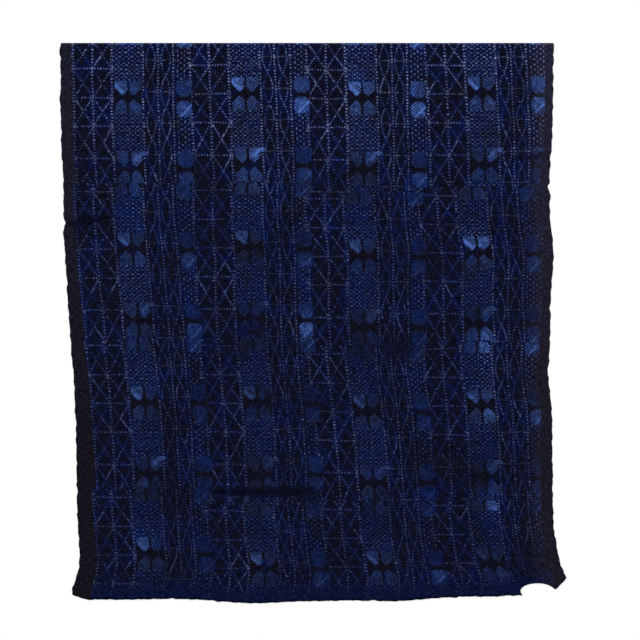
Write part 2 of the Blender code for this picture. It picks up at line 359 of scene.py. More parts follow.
# Squares of the print that came out stronger or weaker, or filled up
SQUARES = (
    # across, drop, change of ink, how filled
    (-0.416, 0.098, 0.5, 0.3), (-0.276, 0.105, -0.1, 0.0), (-0.273, 0.152, 0.5, 0.2),
    (-0.157, 0.092, 1.0, 0.2), (-0.124, 0.092, 0.3, 0.0), (-0.153, 0.134, 0.2, 0.0),
    (-0.012, 0.092, 0.2, 0.0), (-0.012, 0.141, 1.2, 0.4), (0.109, 0.101, 1.2, 0.3),
    (0.138, 0.101, 0.2, 0.0), (0.245, 0.101, 0.4, 0.0), (0.248, 0.150, 1.0, 0.3),
    (0.371, 0.094, 0.4, 0.5), (0.409, 0.136, 0.1, 0.6), (0.516, 0.087, 0.4, 0.0),
    (0.518, 0.132, 0.7, 0.5), (-0.374, 0.262, 0.5, 0.7), (-0.412, 0.309, -0.3, 0.2),
    (-0.376, 0.304, 0.4, 0.0), (-0.412, 0.333, -0.4, 0.0), (-0.269, 0.302, 0.3, 0.8),
    (-0.112, 0.248, 0.6, 0.4), (-0.005, 0.293, 0.1, 0.9), (-0.007, 0.253, -0.2, 0.0),
    (0.145, 0.259, 0.2, 0.7), (0.113, 0.335, -0.3, 0.0), (0.149, 0.342, 0.3, 0.0),
    (0.250, 0.304, 0.4, 0.9), (0.248, 0.268, -0.2, 0.3), (0.248, 0.338, -0.3, 0.3),
    (0.420, 0.255, 0.4, 0.6), (0.402, 0.333, 0.4, 0.6), (0.511, 0.239, -0.3, 0.8),
    (0.520, 0.279, -0.2, 0.9), (-0.405, 0.440, 0.7, 0.3), (-0.369, 0.478, 0.5, 0.1),
    (-0.271, 0.436, -0.2, 0.0), (-0.271, 0.485, 0.7, 0.8), (-0.144, 0.432, 0.9, 0.7),
    (-0.139, 0.476, -0.4, 0.8), (-0.112, 0.476, -0.4, 0.3), (-0.005, 0.440, -0.2, 0.2),
    (-0.007, 0.492, 0.6, 0.4), (0.109, 0.452, 0.7, 0.5), (0.248, 0.452, -0.5, 0.6),
    (0.248, 0.501, 0.1, 1.0), (0.364, 0.445, 1.3, 0.3), (0.395, 0.445, 1.3, 0.5),
    (0.368, 0.490, 0.3, 0.2), (0.395, 0.490, 0.3, 0.6), (0.500, 0.490, 0.5, 0.4),
    (-0.358, 0.601, 0.4, 0.6), (-0.399, 0.648, -0.1, 0.3), (-0.253, 0.642, 0.9, 0.7),
    (-0.244, 0.675, 0.5, 0.3), (-0.139, 0.592, -0.3, 0.0), (-0.108, 0.597, -0.4, 0.9),
    (-0.144, 0.642, -0.8, 0.0), (-0.112, 0.642, -0.8, 0.0), (-0.128, 0.675, -0.4, 0.2),
    (-0.003, 0.604, 0.6, 0.3), (-0.003, 0.639, 1.1, 0.9), (0.002, 0.673, 0.4, 0.4),
    (0.111, 0.615, -0.3, 0.0), (0.149, 0.617, 0.0, 0.9), (0.109, 0.653, -0.5, 0.2),
    (0.143, 0.660, -0.4, 0.7), (0.122, 0.695, -0.6, 0.0), (0.149, 0.693, -0.4, 0.3),
    (0.248, 0.617, -0.1, 0.4), (0.248, 0.657, -0.3, 0.9), (0.371, 0.610, -0.2, 0.0),
    (0.406, 0.610, 0.3, 0.6), (0.402, 0.644, 0.7, 0.5), (0.400, 0.675, 1.0, 0.5),
    (0.500, 0.608, -0.4, 0.2), (0.505, 0.639, -0.3, 1.0), (0.500, 0.675, 0.7, 0.3),
    (-0.378, 0.780, 0.9, 0.3), (-0.372, 0.823, 0.3, 0.0), (-0.242, 0.785, -0.5, 0.0),
    (-0.246, 0.834, 0.1, 0.5), (-0.130, 0.778, 0.5, 0.6), (-0.094, 0.778, -0.3, 0.5),
    (-0.126, 0.821, -0.4, 0.8), (-0.094, 0.812, -0.4, 0.8), (0.011, 0.783, -0.3, 0.0),
    (0.011, 0.827, 0.0, 0.8), (0.118, 0.800, 0.7, 0.5), (0.154, 0.841, 0.4, 0.1),
    (0.252, 0.798, -0.3, 0.7), (0.252, 0.850, -0.2, 0.8), (0.371, 0.794, 0.5, 0.2),
    (0.402, 0.794, 0.2, 0.1), (0.406, 0.832, 0.9, 0.6), (0.507, 0.787, -0.4, 0.0),
    (0.511, 0.832, 0.6, 0.5), (-0.334, 0.941, 0.8, 0.8), (-0.369, 0.986, 0.6, 0.6),
    (-0.329, 0.986, -0.4, 0.7), (-0.361, 1.008, -0.3, 0.1), (-0.334, 1.008, -0.4, 0.6),
    (-0.229, 0.944, -0.2, 0.2), (-0.231, 0.984, -0.5, 0.9), (-0.088, 0.939, 0.0, 0.9),
    (-0.117, 0.979, -0.5, 0.4), (-0.083, 0.986, -0.4, 0.6), (-0.108, 1.033, -0.2, 0.0),
    (-0.072, 1.037, 0.0, 0.4), (0.015, 0.946, 0.0, 0.7), (0.015, 0.986, 0.3, 0.7),
    (0.026, 1.040, -0.4, 0.8), (0.165, 0.959, -0.1, 0.8), (0.131, 1.004, 0.3, 0.1),
    (0.167, 1.006, -0.4, 0.7), (0.167, 1.035, -0.2, 0.9), (0.131, 1.035, -0.6, 0.0),
    (0.259, 0.964, 0.0, 0.6), (0.268, 0.990, -0.7, 0.9), (0.268, 1.026, -0.3, 0.8),
    (0.382, 0.948, -0.3, 0.0), (0.415, 0.952, 0.2, 0.7), (0.384, 0.990, -0.3, 0.1),
    (0.420, 0.995, 0.2, 0.5), (0.418, 1.031, 1.2, 0.5), (0.516, 0.986, -0.2, 0.9),
    (-0.361, 1.113, 1.1, 0.8), (-0.358, 1.160, 0.8, 0.2), (-0.327, 1.160, 0.0, 0.7),
    (-0.229, 1.113, -0.6, 0.5), (-0.231, 1.183, -0.2, 0.9), (-0.110, 1.145, 1.0, 0.3),
    (-0.106, 1.192, 0.0, 0.8), (-0.074, 1.189, -0.2, 0.4), (0.022, 1.156, -0.3, 0.8),
    (0.024, 1.201, 0.3, 0.9), (0.145, 1.149, 0.8, 0.2), (0.178, 1.149, 0.2, 0.1),
    (0.158, 1.192, 0.0, 0.6), (0.187, 1.192, 0.3, 0.4), (0.283, 1.142, -0.2, 0.1),
    (0.297, 1.189, 1.0, 0.8), (0.395, 1.142, 0.2, 0.4), (0.429, 1.140, 0.4, 0.2),
    (0.406, 1.187, -0.1, 0.6), (0.438, 1.181, 0.6, 0.4), (0.527, 1.138, -0.5, 0.9),
    (0.545, 1.181, 0.0, 1.0),
)
SQUARE_REACH = (0.012, 0.019)

# Places the stamps missed
BARE_PATCHES = (
    # across, drop, half width, half height, how bare
    (0.552, 1.150, 0.060, 0.060, 0.80),
    (0.500, 1.205, 0.070, 0.040, 0.75),
    (0.545, 0.730, 0.045, 0.120, 0.60),
    (0.530, 0.330, 0.050, 0.130, 0.60),
    (0.540, 0.560, 0.045, 0.120, 0.50),
    (0.525, 0.950, 0.050, 0.120, 0.35),
    (-0.520, 0.060, 0.040, 0.060, 0.35),
    (-0.525, 0.290, 0.030, 0.100, 0.45),
    (-0.510, 0.900, 0.040, 0.250, 0.30),
    (-0.060, 1.000, 0.150, 0.016, 0.55),
)
DYE_PATCH_END, BARE_PATCH_END = 1.25, 1.20
CREASE_SHADE = 0.55
HEM_PRINT = 0.25
HEM_SHADE = 0.35
HEM_FADE = (0.016, 0.040)
HEM_DARK = 0.007
CUT_EDGE = 0.004
HEM_BLUE = (0.030, 0.058)

# The right border has faded more than the left. The crest over the bar is painted lighter: a painted
# highlight where light glances on the fold
FADED_FROM = 0.490
FADED_TO = 0.525
FADED_GAIN = 0.45
CREST_HIGHLIGHT_DROPS = (0.0012, 0.0085)
CREST_HIGHLIGHT_GAIN = 0.95

# Fineness of the sheet's grid
BACK_STEP_RATIO = 1.35
FINE_HEM = 0.070
FINE_SELVEDGE_FROM = 0.965

# Shares of the bake map that the face, the reverse and the rim take
BAKE_LEFT = (0.006, 0.690, 0.994)
BAKE_SPAN = (0.670, 0.300, 0.004)
BAKE_MARGIN = 0.006

# The faces of the sheet, by the place of their material
FACE, REVERSE, RIM = 0, 1, 2
REVERSE_SHARE = 0.22

# Dry cotton has next to no gloss, and its threads stand out from each other a little
COTTON_ROUGHNESS = 0.92
THREAD_RELIEF = 0.0004

# Loose threads: a bent piece of yarn set down along the open edge
THREAD_SPACING = 0.0032
THREAD_RADIUS = 0.00028
SELVEDGE_THREAD = 0.0009
CUT_THREAD = 0.0021
THREAD_TILT = (0.9, 0.4, 0.9)
THREAD_STRETCH = (0.4, 1.5)
THREAD_ARC = {"Start": (-0.5, 0.0, 0.0), "Middle": (0.4, 0.0011, 0.0), "End": (1.0, -0.0004, 0.0)}

# The studio
FLOOR_RADIUS = 1.7
FLOOR_HEIGHT = -1.60
LIGHT_AIM = (0.0, 0.0, -0.6)
LIGHTS = (
    # name, place, size, power in watts
    ("key", (-1.6, -3.4, 1.5), 1.8, 42.0),
    ("fill", (2.4, -3.0, -0.2), 2.2, 18.0),
    ("back", (1.2, 3.4, 1.2), 2.4, 40.0),
)
CAMERA_ACROSS = 0.0285
CAMERA_HEIGHT = -0.618
CAMERA_AWAY = 4.5
FRONT_FACE = 0.02
VIEW_WIDTH = 1.4250
SENSOR_WIDTH = 36.0


def linear_colour(hex_code):
    """An sRGB hex colour as linear RGB."""
    channels = [int(hex_code[i : i + 2], 16) / 255 for i in (1, 3, 5)]
    return [c / 12.92 if c <= 0.04045 else ((c + 0.055) / 1.055) ** 2.4 for c in channels]


# The shape of the sheet


def smooth_step(share):
    share = np.clip(share, 0.0, 1.0)
    return share * share * (3 - 2 * share)


def read_curve(rows, at, column=1):
    """Values at places in a table, on a smooth curve through its rows."""
    table = np.array(rows, float)
    places, values = table[:, 0], table[:, column]
    at = np.clip(at, places[0], places[-1])
    after = np.clip(np.searchsorted(places, at), 1, len(places) - 1)
    slopes = np.empty(len(places))
    slopes[1:-1] = (values[2:] - values[:-2]) / (places[2:] - places[:-2])
    slopes[0] = (values[1] - values[0]) / (places[1] - places[0])
    slopes[-1] = (values[-1] - values[-2]) / (places[-1] - places[-2])
    low, width = after - 1, places[after] - places[after - 1]
    t = (at - places[low]) / width
    keep_low = (1 + 2 * t) * (1 - t) ** 2
    keep_high = t * t * (3 - 2 * t)
    lean_low = t * (1 - t) ** 2 * width * slopes[low]
    lean_high = t * t * (t - 1) * width * slopes[after]
    return keep_low * values[low] + keep_high * values[after] + lean_low + lean_high


def bump(offset, half_width):
    """1 at the middle of a fold, 0 at and past its half width."""
    return np.cos(math.pi / 2 * np.clip(np.abs(offset) / half_width, 0, 1)) ** 2


def fold_reach(folds, growth, x, drop):
    reach = 0.0
    for centre, half_width, most, starts in folds:
        reach = reach + most * smooth_step((drop - starts) / growth) * bump(x - centre, half_width)
    return reach


def crease_depth(x, drop):
    depth = 0.0
    for left_drop, right_drop, left, right, half_width, most in LEVEL_CREASES:
        line = left_drop + (right_drop - left_drop) * (x - left) / (right - left)
        ends = smooth_step((x - left) / CREASE_FADE) * smooth_step((right - x) / CREASE_FADE)
        depth = depth + most * ends * bump(drop - line, half_width)
    return depth


def pressed_creases(x, drop, kind):
    """Depth, or painted shade and highlight, of the pressed creases. kind is the column of the table to
    read.
    """
    total = 0.0
    for row in PRESSED_CREASES:
        left, left_drop, right, right_drop, half_width = row[:5]
        line = left_drop + (right_drop - left_drop) * (x - left) / (right - left)
        ends = smooth_step((x - left) / CREASE_END) * smooth_step((right - x) / CREASE_END)
        total = total + row[kind] * ends * bump(drop - line, half_width)
    return total


def corner_reach(x, drop):
    reach = 0.0
    for across, corner_drop, size, most in CORNERS:
        reach = reach + most * smooth_step(1 - np.hypot(x - across, drop - corner_drop) / size)
    return reach


def ripple_height(x, drop):
    height = 0.0
    for across, down, phase, most in RIPPLES:
        height = height + most * np.sin(2 * math.pi * (x / across + drop / down) + phase)
    return height * smooth_step(drop / RIPPLES_FROM)


def edge_wander(share, drop):
    """How far the selvedges stray outwards, fading out inside the cloth."""
    waves = 0.0
    for length, phase, reach in EDGE_WAVES:
        waves = waves + reach * np.sin(2 * math.pi * drop / length + phase + EDGE_LEAN * share)
    moved = 0.0
    for side in (-1, 1):
        strayed = waves
        for nick_side, nick_drop, half_length, reach in EDGE_NICKS:
            if nick_side == side:
                strayed = strayed + reach * bump(drop - nick_drop, half_length)
        inside = (share if side < 0 else 1 - share) * FLAT_WIDTH
        moved = moved + side * strayed * smooth_step(1 - inside / EDGE_BAND)
    return moved


def hem_shift(share):
    """Small steps and waves of the front hem."""
    shift = 0.0
    for length, reach in HEM_WAVES:
        shift = shift + reach * np.sin(2 * math.pi * share / length)
    for across, half_length, drop in HEM_STEPS:
        shift = shift + drop * bump(share - across, half_length)
    return shift


def hung_points(share, run, side):
    """Points of the cloth's middle surface, run metres along it from the crest."""
    turn = np.minimum(run, QUARTER_TURN) / MID_RADIUS
    y = side * MID_RADIUS * np.sin(turn)
    drop = MID_RADIUS * (1 - np.cos(turn)) + np.maximum(run - QUARTER_TURN, 0)
    left = read_curve(SELVEDGES, drop, 1)
    right = read_curve(SELVEDGES, drop, 2)
    x = left + (right - left) * share
    hangs = run >= QUARTER_TURN
    front = fold_reach(UPRIGHT_FOLDS, FOLD_GROWTH, x, drop) + corner_reach(x, drop)
    front = front - crease_depth(x, drop) - pressed_creases(x, drop, PRESSED_DEPTH) + ripple_height(x, drop)
    back = fold_reach(BACK_FOLDS, BACK_FOLD_GROWTH, x, drop)
    y = y + np.where(side < 0, -front * hangs, back * hangs)
    x = x + edge_wander(share, drop + BACK_EDGE_FROM * (side > 0))
    return x, y, CREST - drop


def crowded_places(stretches):
    """Places at even steps in each stretch of (start, end, step), once each."""
    places = [stretches[0][0]]
    for start, end, step in stretches:
        count = max(round((end - start) / step), 1)
        places += [start + (end - start) * (i + 1) / count for i in range(count)]
    return np.array(places)


def run_of_drop(drop):
    return drop - MID_RADIUS + QUARTER_TURN


def sheet_grid(sizes):
    """The middle surface as arrays of (row, column): points, flat places and drop."""
    step, fine = sizes.step, sizes.fine_step
    front_end, back_end = run_of_drop(FRONT_DROP), run_of_drop(BACK_DROP)
    runs = crowded_places(
        (
            (-back_end, -QUARTER_TURN, step * BACK_STEP_RATIO),
            (-QUARTER_TURN, QUARTER_TURN, fine),
            (QUARTER_TURN, front_end - FINE_HEM, step),
            (front_end - FINE_HEM, front_end, fine),
        )
    )
    across = crowded_places(
        ((0.0, FINE_SELVEDGE_FROM, step), (FINE_SELVEDGE_FROM, FLAT_WIDTH, fine))
    )
    share, along = np.meshgrid(across / FLAT_WIDTH, runs)
    side = np.where(along > 0, -1, 1)
    run = np.abs(along)
    short = FRONT_DROP - read_curve(FRONT_HEM, share) - hem_shift(share)
    pull = np.clip(run / front_end, 0, 1) ** HEM_PULL
    reached = np.where(side < 0, run - short * pull, run)
    x, y, z = hung_points(share, reached, side)
    points = np.stack([x, y, z], -1)
    flat = np.stack([share * FLAT_WIDTH, -side * reached], -1)
    to_hem = np.where(side < 0, front_end - short - reached, back_end - run)
    return points, flat, to_hem, side


def from_gap(points):
    """Distance from the middle of the oval gap, 1 on its rim."""
    across = (points[..., 0] - GAP_CENTRE) / GAP_HALF_WIDTH
    down = (CREST - points[..., 2] - GAP_DROP) / GAP_HALF_HEIGHT
    return np.hypot(across, down)


def snap_to_gap(points, flat, side):
    """Moves the nearest grid points onto the oval gap, and says which lie inside, on or outside it.

    A point moves along a grid line by half a step at most.
    """
    away = np.where(side < 0, from_gap(points) - 1, 1.0)
    nearest = np.full(away.shape, 0.5 + 1e-9)
    new_points, new_flat = points.copy(), flat.copy()
    rows, columns = away.shape
    for i in range(1, rows - 1):
        near = np.nonzero(np.abs(away[i]) < GAP_REACH)[0]
        for j in near:
            for di, dj in ((1, 0), (-1, 0), (0, 1), (0, -1)):
                a, b = i + di, j + dj
                if not (0 <= a < rows and 0 <= b < columns) or away[i, j] * away[a, b] >= 0:
                    continue
                share = away[i, j] / (away[i, j] - away[a, b])
                if share < nearest[i, j]:
                    nearest[i, j] = share
                    new_points[i, j] = points[i, j] + share * (points[a, b] - points[i, j])
                    new_flat[i, j] = flat[i, j] + share * (flat[a, b] - flat[i, j])
    away = np.where(nearest < 0.5, 0.0, away)
    return new_points, new_flat, np.sign(np.where(np.abs(away) < 1e-6, 0.0, away))


def sheet_faces(where):
    """Corners of each kept face, as indices into the grid, with the gap left open."""
    rows, columns = where.shape
    index = np.arange(rows * columns).reshape(rows, columns)
    faces = []
    for i in range(rows - 1):
        for j in range(columns - 1):
            corners = (index[i, j], index[i + 1, j], index[i + 1, j + 1], index[i, j + 1])
            signs = (where[i, j], where[i + 1, j], where[i + 1, j + 1], where[i, j + 1])
            if min(signs) >= 0 and max(signs) > 0:
                faces.append(corners)
            elif max(signs) > 0:
                kept = tuple(c for c, s in zip(corners, signs) if s >= 0)
                if len(kept) == 3:
                    faces.append(kept)
    return faces


def normals_of(points):
    """Unit normals of the grid, away from the bar side, so outwards on the printed face."""
    down = np.gradient(points, axis=0)
    across = np.gradient(points, axis=1)
    normal = np.cross(across, down)
    normal /= np.maximum(np.linalg.norm(normal, axis=-1, keepdims=True), 1e-12)
    return -normal


def stamp_origin(column, row, down):
    """Where one stamp's own origin lies on the flat cloth, in mm, and its shift down."""
    pitch = STAMP_WIDTH + TOP_ROW_WIDER * (row == 0)
    across = FIRST_UPRIGHT + ROW_STEP * min(max(row, 0), ROWS - 1) + pitch * column
    for stamp_column, stamp_row, at_top, at_foot, lower in STAMPS:
        if (stamp_column, stamp_row) == (column, row):
            share = (down - STAMP_HEIGHT * row + STAMP_TOP) / STAMP_HEIGHT
            return across + at_top + (at_foot - at_top) * share, STAMP_HEIGHT * row + lower
    return across + 0 * down, STAMP_HEIGHT * row


def stamp_of_faces(middles):
    """The column and row of the stamp that printed each face, from its middle on the flat cloth."""
    across, down = middles[:, 0] * 1000, middles[:, 1] * 1000
    columns = np.zeros(len(middles), int)
    rows = np.minimum(np.floor((down + STAMP_TOP) / STAMP_HEIGHT).astype(int), 0)
    for column in range(COLUMNS):
        left = stamp_origin(column, 0, down)[0]
        for row in range(1, ROWS):
            own_left = stamp_origin(column, row, down)[0]
            left = np.where(down > STAMP_HEIGHT * row - STAMP_TOP, own_left, left)
        inside = across > left - JOINT_ACROSS if column else np.ones(len(middles), bool)
        columns[inside] = column
        for row in range(ROWS):
            top = stamp_origin(column, row, down)[1] - STAMP_TOP
            rows[inside & (down > top)] = row
            if row == 0:
                rows[inside & (down > -STAMP_TOP) & (down <= top)] = 0
    # The squares of a stamp's last column reach a little over the next stamp
    to_left, to_right, down_most = LAST_SQUARES_REACH
    for column in range(COLUMNS - 1):
        for row in range(ROWS):
            origin, top = stamp_origin(column, row, down)
            p, q = across - origin, down - top
            beside = (p > LAST_SQUARES_P - to_left) & (p < LAST_SQUARES_P + to_right)
            for middle in LAST_SQUARES_Q:
                reached = beside & (np.abs(q - middle) < down_most) & (q > -STAMP_TOP)
                columns[reached], rows[reached] = column, row
    return columns, rows


def stamp_places(flat, columns, rows):
    """Places on the stamp, in metres, of the corners of the faces that it printed."""
    across, down = flat[:, 0] * 1000, flat[:, 1] * 1000
    places = np.zeros_like(flat)
    for column in range(COLUMNS):
        for row in range(int(rows.min()), ROWS):
            own = (columns == column) & (rows == row)
            origin, top = stamp_origin(column, row, down)
            places[own, 0] = (across - origin)[own] / 1000
            places[own, 1] = (down - top)[own] / 1000
    return places


def patch_share(x, drop, patch, soft):
    """1 inside an oval patch and 0 outside it. soft is where it ends, as a share of its half size."""
    across, patch_drop, half_width, half_height = patch
    return smooth_step(soft - np.hypot((x - across) / half_width, (drop - patch_drop) / half_height))


def square_inks(points, to_hem, side):
    """How much more ink the squares took, how far they filled up, and the blue of the hem."""
    x, drop = points[..., 0], CREST - points[..., 2]
    ink, filled = np.zeros_like(x), np.zeros_like(x)
    inner, outer = SQUARE_REACH
    for across, square_drop, change, fill in SQUARES:
        away = np.maximum(np.abs(x - across), np.abs(drop - square_drop))
        here = smooth_step((outer - away) / (outer - inner)) * (side < 0)
        ink = ink + here * (change - ink)
        filled = filled + here * (fill - filled)
    hem_blue = smooth_step((HEM_BLUE[1] - to_hem) / (HEM_BLUE[1] - HEM_BLUE[0])) * (side < 0)
    return np.stack([ink, filled, hem_blue], -1)


def print_strength_and_shade(points, to_hem, side):
    """How strongly each point shows the print, from 0 to about 2, with painted shade in the creases and
    where the light falls off downwards.
    """
    x, drop = points[..., 0], CREST - points[..., 2]
    signed = np.where(side < 0, drop, -drop)
    # Painted shade: the print and its wash dim downwards, partly because the light falls off there
    strength = read_curve(PRINT_FADE_AND_FALLOFF, signed)
    change = 0.0
    for *patch, most in DYE_PATCHES:
        change = change + most * patch_share(x, drop, patch, DYE_PATCH_END)
    strength = strength * (1 + np.where(side < 0, change, 0.0))
    for *patch, bare in BARE_PATCHES:
        missed = patch_share(x, drop, patch, BARE_PATCH_END)
        strength = strength * (1 - np.where(side < 0, bare, 0.0) * missed)
    # Painted shade in the pressed creases dims the print, and painted highlight on their ridges brightens
    # it
    crease_shade_and_highlight = pressed_creases(x, drop, PRESSED_SHADE_AND_HIGHLIGHT)
    strength = strength * np.where(side < 0, 1 - crease_shade_and_highlight, 1.0)
    hem = smooth_step((to_hem - HEM_FADE[0]) / (HEM_FADE[1] - HEM_FADE[0]))
    return np.maximum(strength * (HEM_PRINT + (1 - HEM_PRINT) * hem), 0.0)


def ground_shade_and_fading(points, to_hem, side):
    """Light or dark of the cloth: painted shade in the creases and painted highlight on their ridges and on
    the crest over the bar, darker along the hem, paler where it faded.
    """
    x, drop = points[..., 0], CREST - points[..., 2]
    # Painted shade in the pressed creases, and painted highlight on their ridges
    crease_shade_and_highlight = np.where(side < 0, np.clip(pressed_creases(x, drop, PRESSED_SHADE_AND_HIGHLIGHT), -0.5, 1), 0.0)
    hem = HEM_SHADE + (1 - HEM_SHADE) * smooth_step(to_hem / HEM_DARK)
    shade = (1 - CREASE_SHADE * crease_shade_and_highlight) * hem
    shade = shade * (1 + FADED_GAIN * smooth_step((x - FADED_FROM) / (FADED_TO - FADED_FROM)))
    # Painted highlight along the crest of the fold over the bar
    crest_highlight = smooth_step((CREST_HIGHLIGHT_DROPS[1] - drop) / (CREST_HIGHLIGHT_DROPS[1] - CREST_HIGHLIGHT_DROPS[0]))
    return shade * (1 + CREST_HIGHLIGHT_GAIN * crest_highlight)


def add_map(mesh, name, places):
    """A UV map from one place for each corner."""
    layer = mesh.uv_layers.new(name=name)
    layer.uv.foreach_set("vector", np.asarray(places, np.float32).ravel())


def add_numbers(mesh, name, kind, values, domain="POINT"):
    """An attribute with one value, or one vector, for each point or face."""
    field = "value" if kind == "FLOAT" else "vector"
    layer = mesh.attributes.new(name, kind, domain)
    layer.data.foreach_set(field, np.asarray(values, np.float32).ravel())


def boundary_edges(faces):
    """Directed edges used by one face alone, as the face goes round them."""
    seen = {}
    for face in faces:
        for a, b in zip(face, face[1:] + face[:1]):
            if (b, a) in seen:
                del seen[(b, a)]
            else:
                seen[(a, b)] = face
    return seen


def hung_sheet(sizes):
    """The two-sided sheet with its rim, maps and numbers, and the open edge round it."""
    points, flat, to_hem, side = sheet_grid(sizes)
    points, flat, where = snap_to_gap(points, flat, side)
    outward = normals_of(points)
    faces = sheet_faces(where)
    rim = boundary_edges(faces)
    count = where.size
    half = sizes.thickness / 2
    outer = (points + outward * half).reshape(-1, 3)
    inner = (points - outward * half).reshape(-1, 3)
    all_faces = list(faces)
    all_faces += [tuple(c + count for c in reversed(face)) for face in faces]
    all_faces += [(b, a, a + count, b + count) for a, b in rim]
    finishes = [FACE] * len(faces) + [REVERSE] * len(faces) + [RIM] * len(rim)
    mesh = bpy.data.meshes.new("hung_cloth")
    mesh.from_pydata(np.concatenate([outer, inner]).tolist(), [], all_faces)
    mesh.polygons.foreach_set("material_index", finishes)
    mesh.polygons.foreach_set("use_smooth", [True] * len(all_faces))

    corner_points = np.concatenate([np.array(face) for face in all_faces])
    places = flat.reshape(-1, 2)[corner_points % count]
    add_map(mesh, "cloth_metres", places)
    length = run_of_drop(FRONT_DROP) + run_of_drop(BACK_DROP)
    tall = (places[:, 1] + run_of_drop(BACK_DROP)) / length
    wide = places[:, 0] / FLAT_WIDTH
    corner_counts = np.array([len(face) for face in all_faces])
    which = np.repeat(finishes, corner_counts)
    left, span = np.choose(which, BAKE_LEFT), np.choose(which, BAKE_SPAN)
    upright = BAKE_MARGIN + (1 - 2 * BAKE_MARGIN) * (1 - tall)
    add_map(mesh, "OFBake", np.stack([left + span * wide, upright], 1))

    starts = np.concatenate([[0], np.cumsum(corner_counts)[:-1]])
    middles = np.add.reduceat(places, starts, axis=0) / corner_counts[:, None]
    columns, rows = stamp_of_faces(middles)
    own_stamps = stamp_places(places, np.repeat(columns, corner_counts), np.repeat(rows, corner_counts))
    add_map(mesh, "stamp_place", own_stamps)
    stamps = np.stack([columns, rows, np.zeros_like(rows)], -1)
    add_numbers(mesh, "stamp_number", "FLOAT_VECTOR", stamps, "FACE")

    # Both sides of the sheet know the same numbers
    squares = square_inks(points, to_hem, side).reshape(-1, 3)
    add_numbers(mesh, "square_inks", "FLOAT_VECTOR", np.tile(squares, (2, 1)))
    for name, work_out_values in (("print_strength_and_shade", print_strength_and_shade), ("ground_shade_and_fading", ground_shade_and_fading)):
        values = work_out_values(points, to_hem, side).ravel()
        add_numbers(mesh, name, "FLOAT", np.tile(values, 2))
    mesh.validate(clean_customdata=False)
    mesh.update()

    edge = edge_guide(points.reshape(-1, 3), rim, to_hem.ravel())
    return mesh, edge


def edge_guide(points, rim, to_hem):
    """The open edge as a line of points that know the way out of the cloth, and whether they are cut."""
    used = sorted({v for pair in rim for v in pair})
    number = {v: i for i, v in enumerate(used)}
    out = np.zeros((len(used), 3))
    for (a, b), face in rim.items():
        along = points[b] - points[a]
        away = (points[a] + points[b]) / 2 - points[list(face)].mean(0)
        away -= along * (away @ along) / max(along @ along, 1e-12)
        away /= max(np.linalg.norm(away), 1e-9)
        out[number[a]] += away
        out[number[b]] += away
    out /= np.maximum(np.linalg.norm(out, axis=1, keepdims=True), 1e-9)
    cut = (to_hem[used] < CUT_EDGE) | (from_gap(points[used]) < GAP_RIM)
    mesh = bpy.data.meshes.new("edge_guide")
    mesh.from_pydata(points[used].tolist(), [(number[a], number[b]) for a, b in rim], [])
    add_numbers(mesh, "outward", "FLOAT_VECTOR", out)
    add_numbers(mesh, "cut", "FLOAT", cut)
    return mesh


# Nodes


def add_node(tree, kind, settings=None, inputs=None):
    """Adds one node, sets it up, and fills or links its inputs."""
    node = tree.nodes.new(kind)
    for name, value in (settings or {}).items():
        setattr(node, name, value)
    for key, value in (inputs or {}).items():
        if isinstance(value, bpy.types.NodeSocket):
            tree.links.new(value, node.inputs[key])
        else:
            node.inputs[key].default_value = value
    return node


def work_out(tree, known, steps):
    """Adds a table of sums to a shader. A word in a row stands for an earlier result."""
    for name, operation, *values in steps:
        held = operation.endswith(" held")
        settings = {"operation": operation.removesuffix(" held"), "use_clamp": held}
        inputs = {i: known[v] if isinstance(v, str) else v for i, v in enumerate(values)}
        known[name] = add_node(tree, "ShaderNodeMath", settings, inputs).outputs[0]


def mark(tree, known, name, across, half_across, along, half_along):
    """An oval mark of the print, with soft ends, 1 inside and 0 outside. Sizes are in mm."""
    work_out(
        tree,
        known,
        (
            ("mark_x", "DIVIDE", across, half_across),
            ("mark_y", "DIVIDE", along, half_along),
            ("mark_x2", "MULTIPLY", "mark_x", "mark_x"),
            ("mark_r2", "MULTIPLY_ADD", "mark_y", "mark_y", "mark_x2"),
            (name, "MULTIPLY_ADD held", "mark_r2", -1.25, 1.9),
        ),
    )


def chances(tree, known, name, *words):
    """Three fixed random numbers, 0 to 1, for each set of whole numbers."""
    key = add_node(
        tree, "ShaderNodeCombineXYZ", {}, {i: known[word] for i, word in enumerate(words)}
    )
    noise = add_node(
        tree, "ShaderNodeTexWhiteNoise", {"noise_dimensions": "3D"}, {"Vector": key.outputs[0]}
    )
    parts = add_node(tree, "ShaderNodeSeparateColor", {}, {0: noise.outputs["Color"]})
    for i in range(3):
        known[f"{name}_{i}"] = parts.outputs[i]


# The chart of one block of the print, in mm: a lattice, a comb of dashes, a zigzag
# and a narrow brick, side by side, with hatched squares in the comb and the brick.
# A row gives a name, a sum and the numbers or earlier names that go into it.
HALF_CELL_WIDTH = 21.6
CELL_HEIGHT = 64.1
LAST_CELL_HEIGHT = 71.9
MEAN_HALF_HEIGHT = 33.0
COMB_ROWS_APART = 4.6
HALF_LANE = 16.75
HALF_WAVE = 35.0
WAVE_REACH = 10.0
HALF_BRICK = (7.5, 5.7)
# Half the step of the hatch along a thread. Measured square to them, the strokes are 4.9 mm apart.
HALF_HATCH = 3.45

IN_STAMP = (
    ("from_start", "MULTIPLY_ADD", "column", STAMP_WIDTH, "p"),
    ("past_first", "GREATER_THAN", "q", 50.0),
    ("past_second", "GREATER_THAN", "q", 206.0),
)

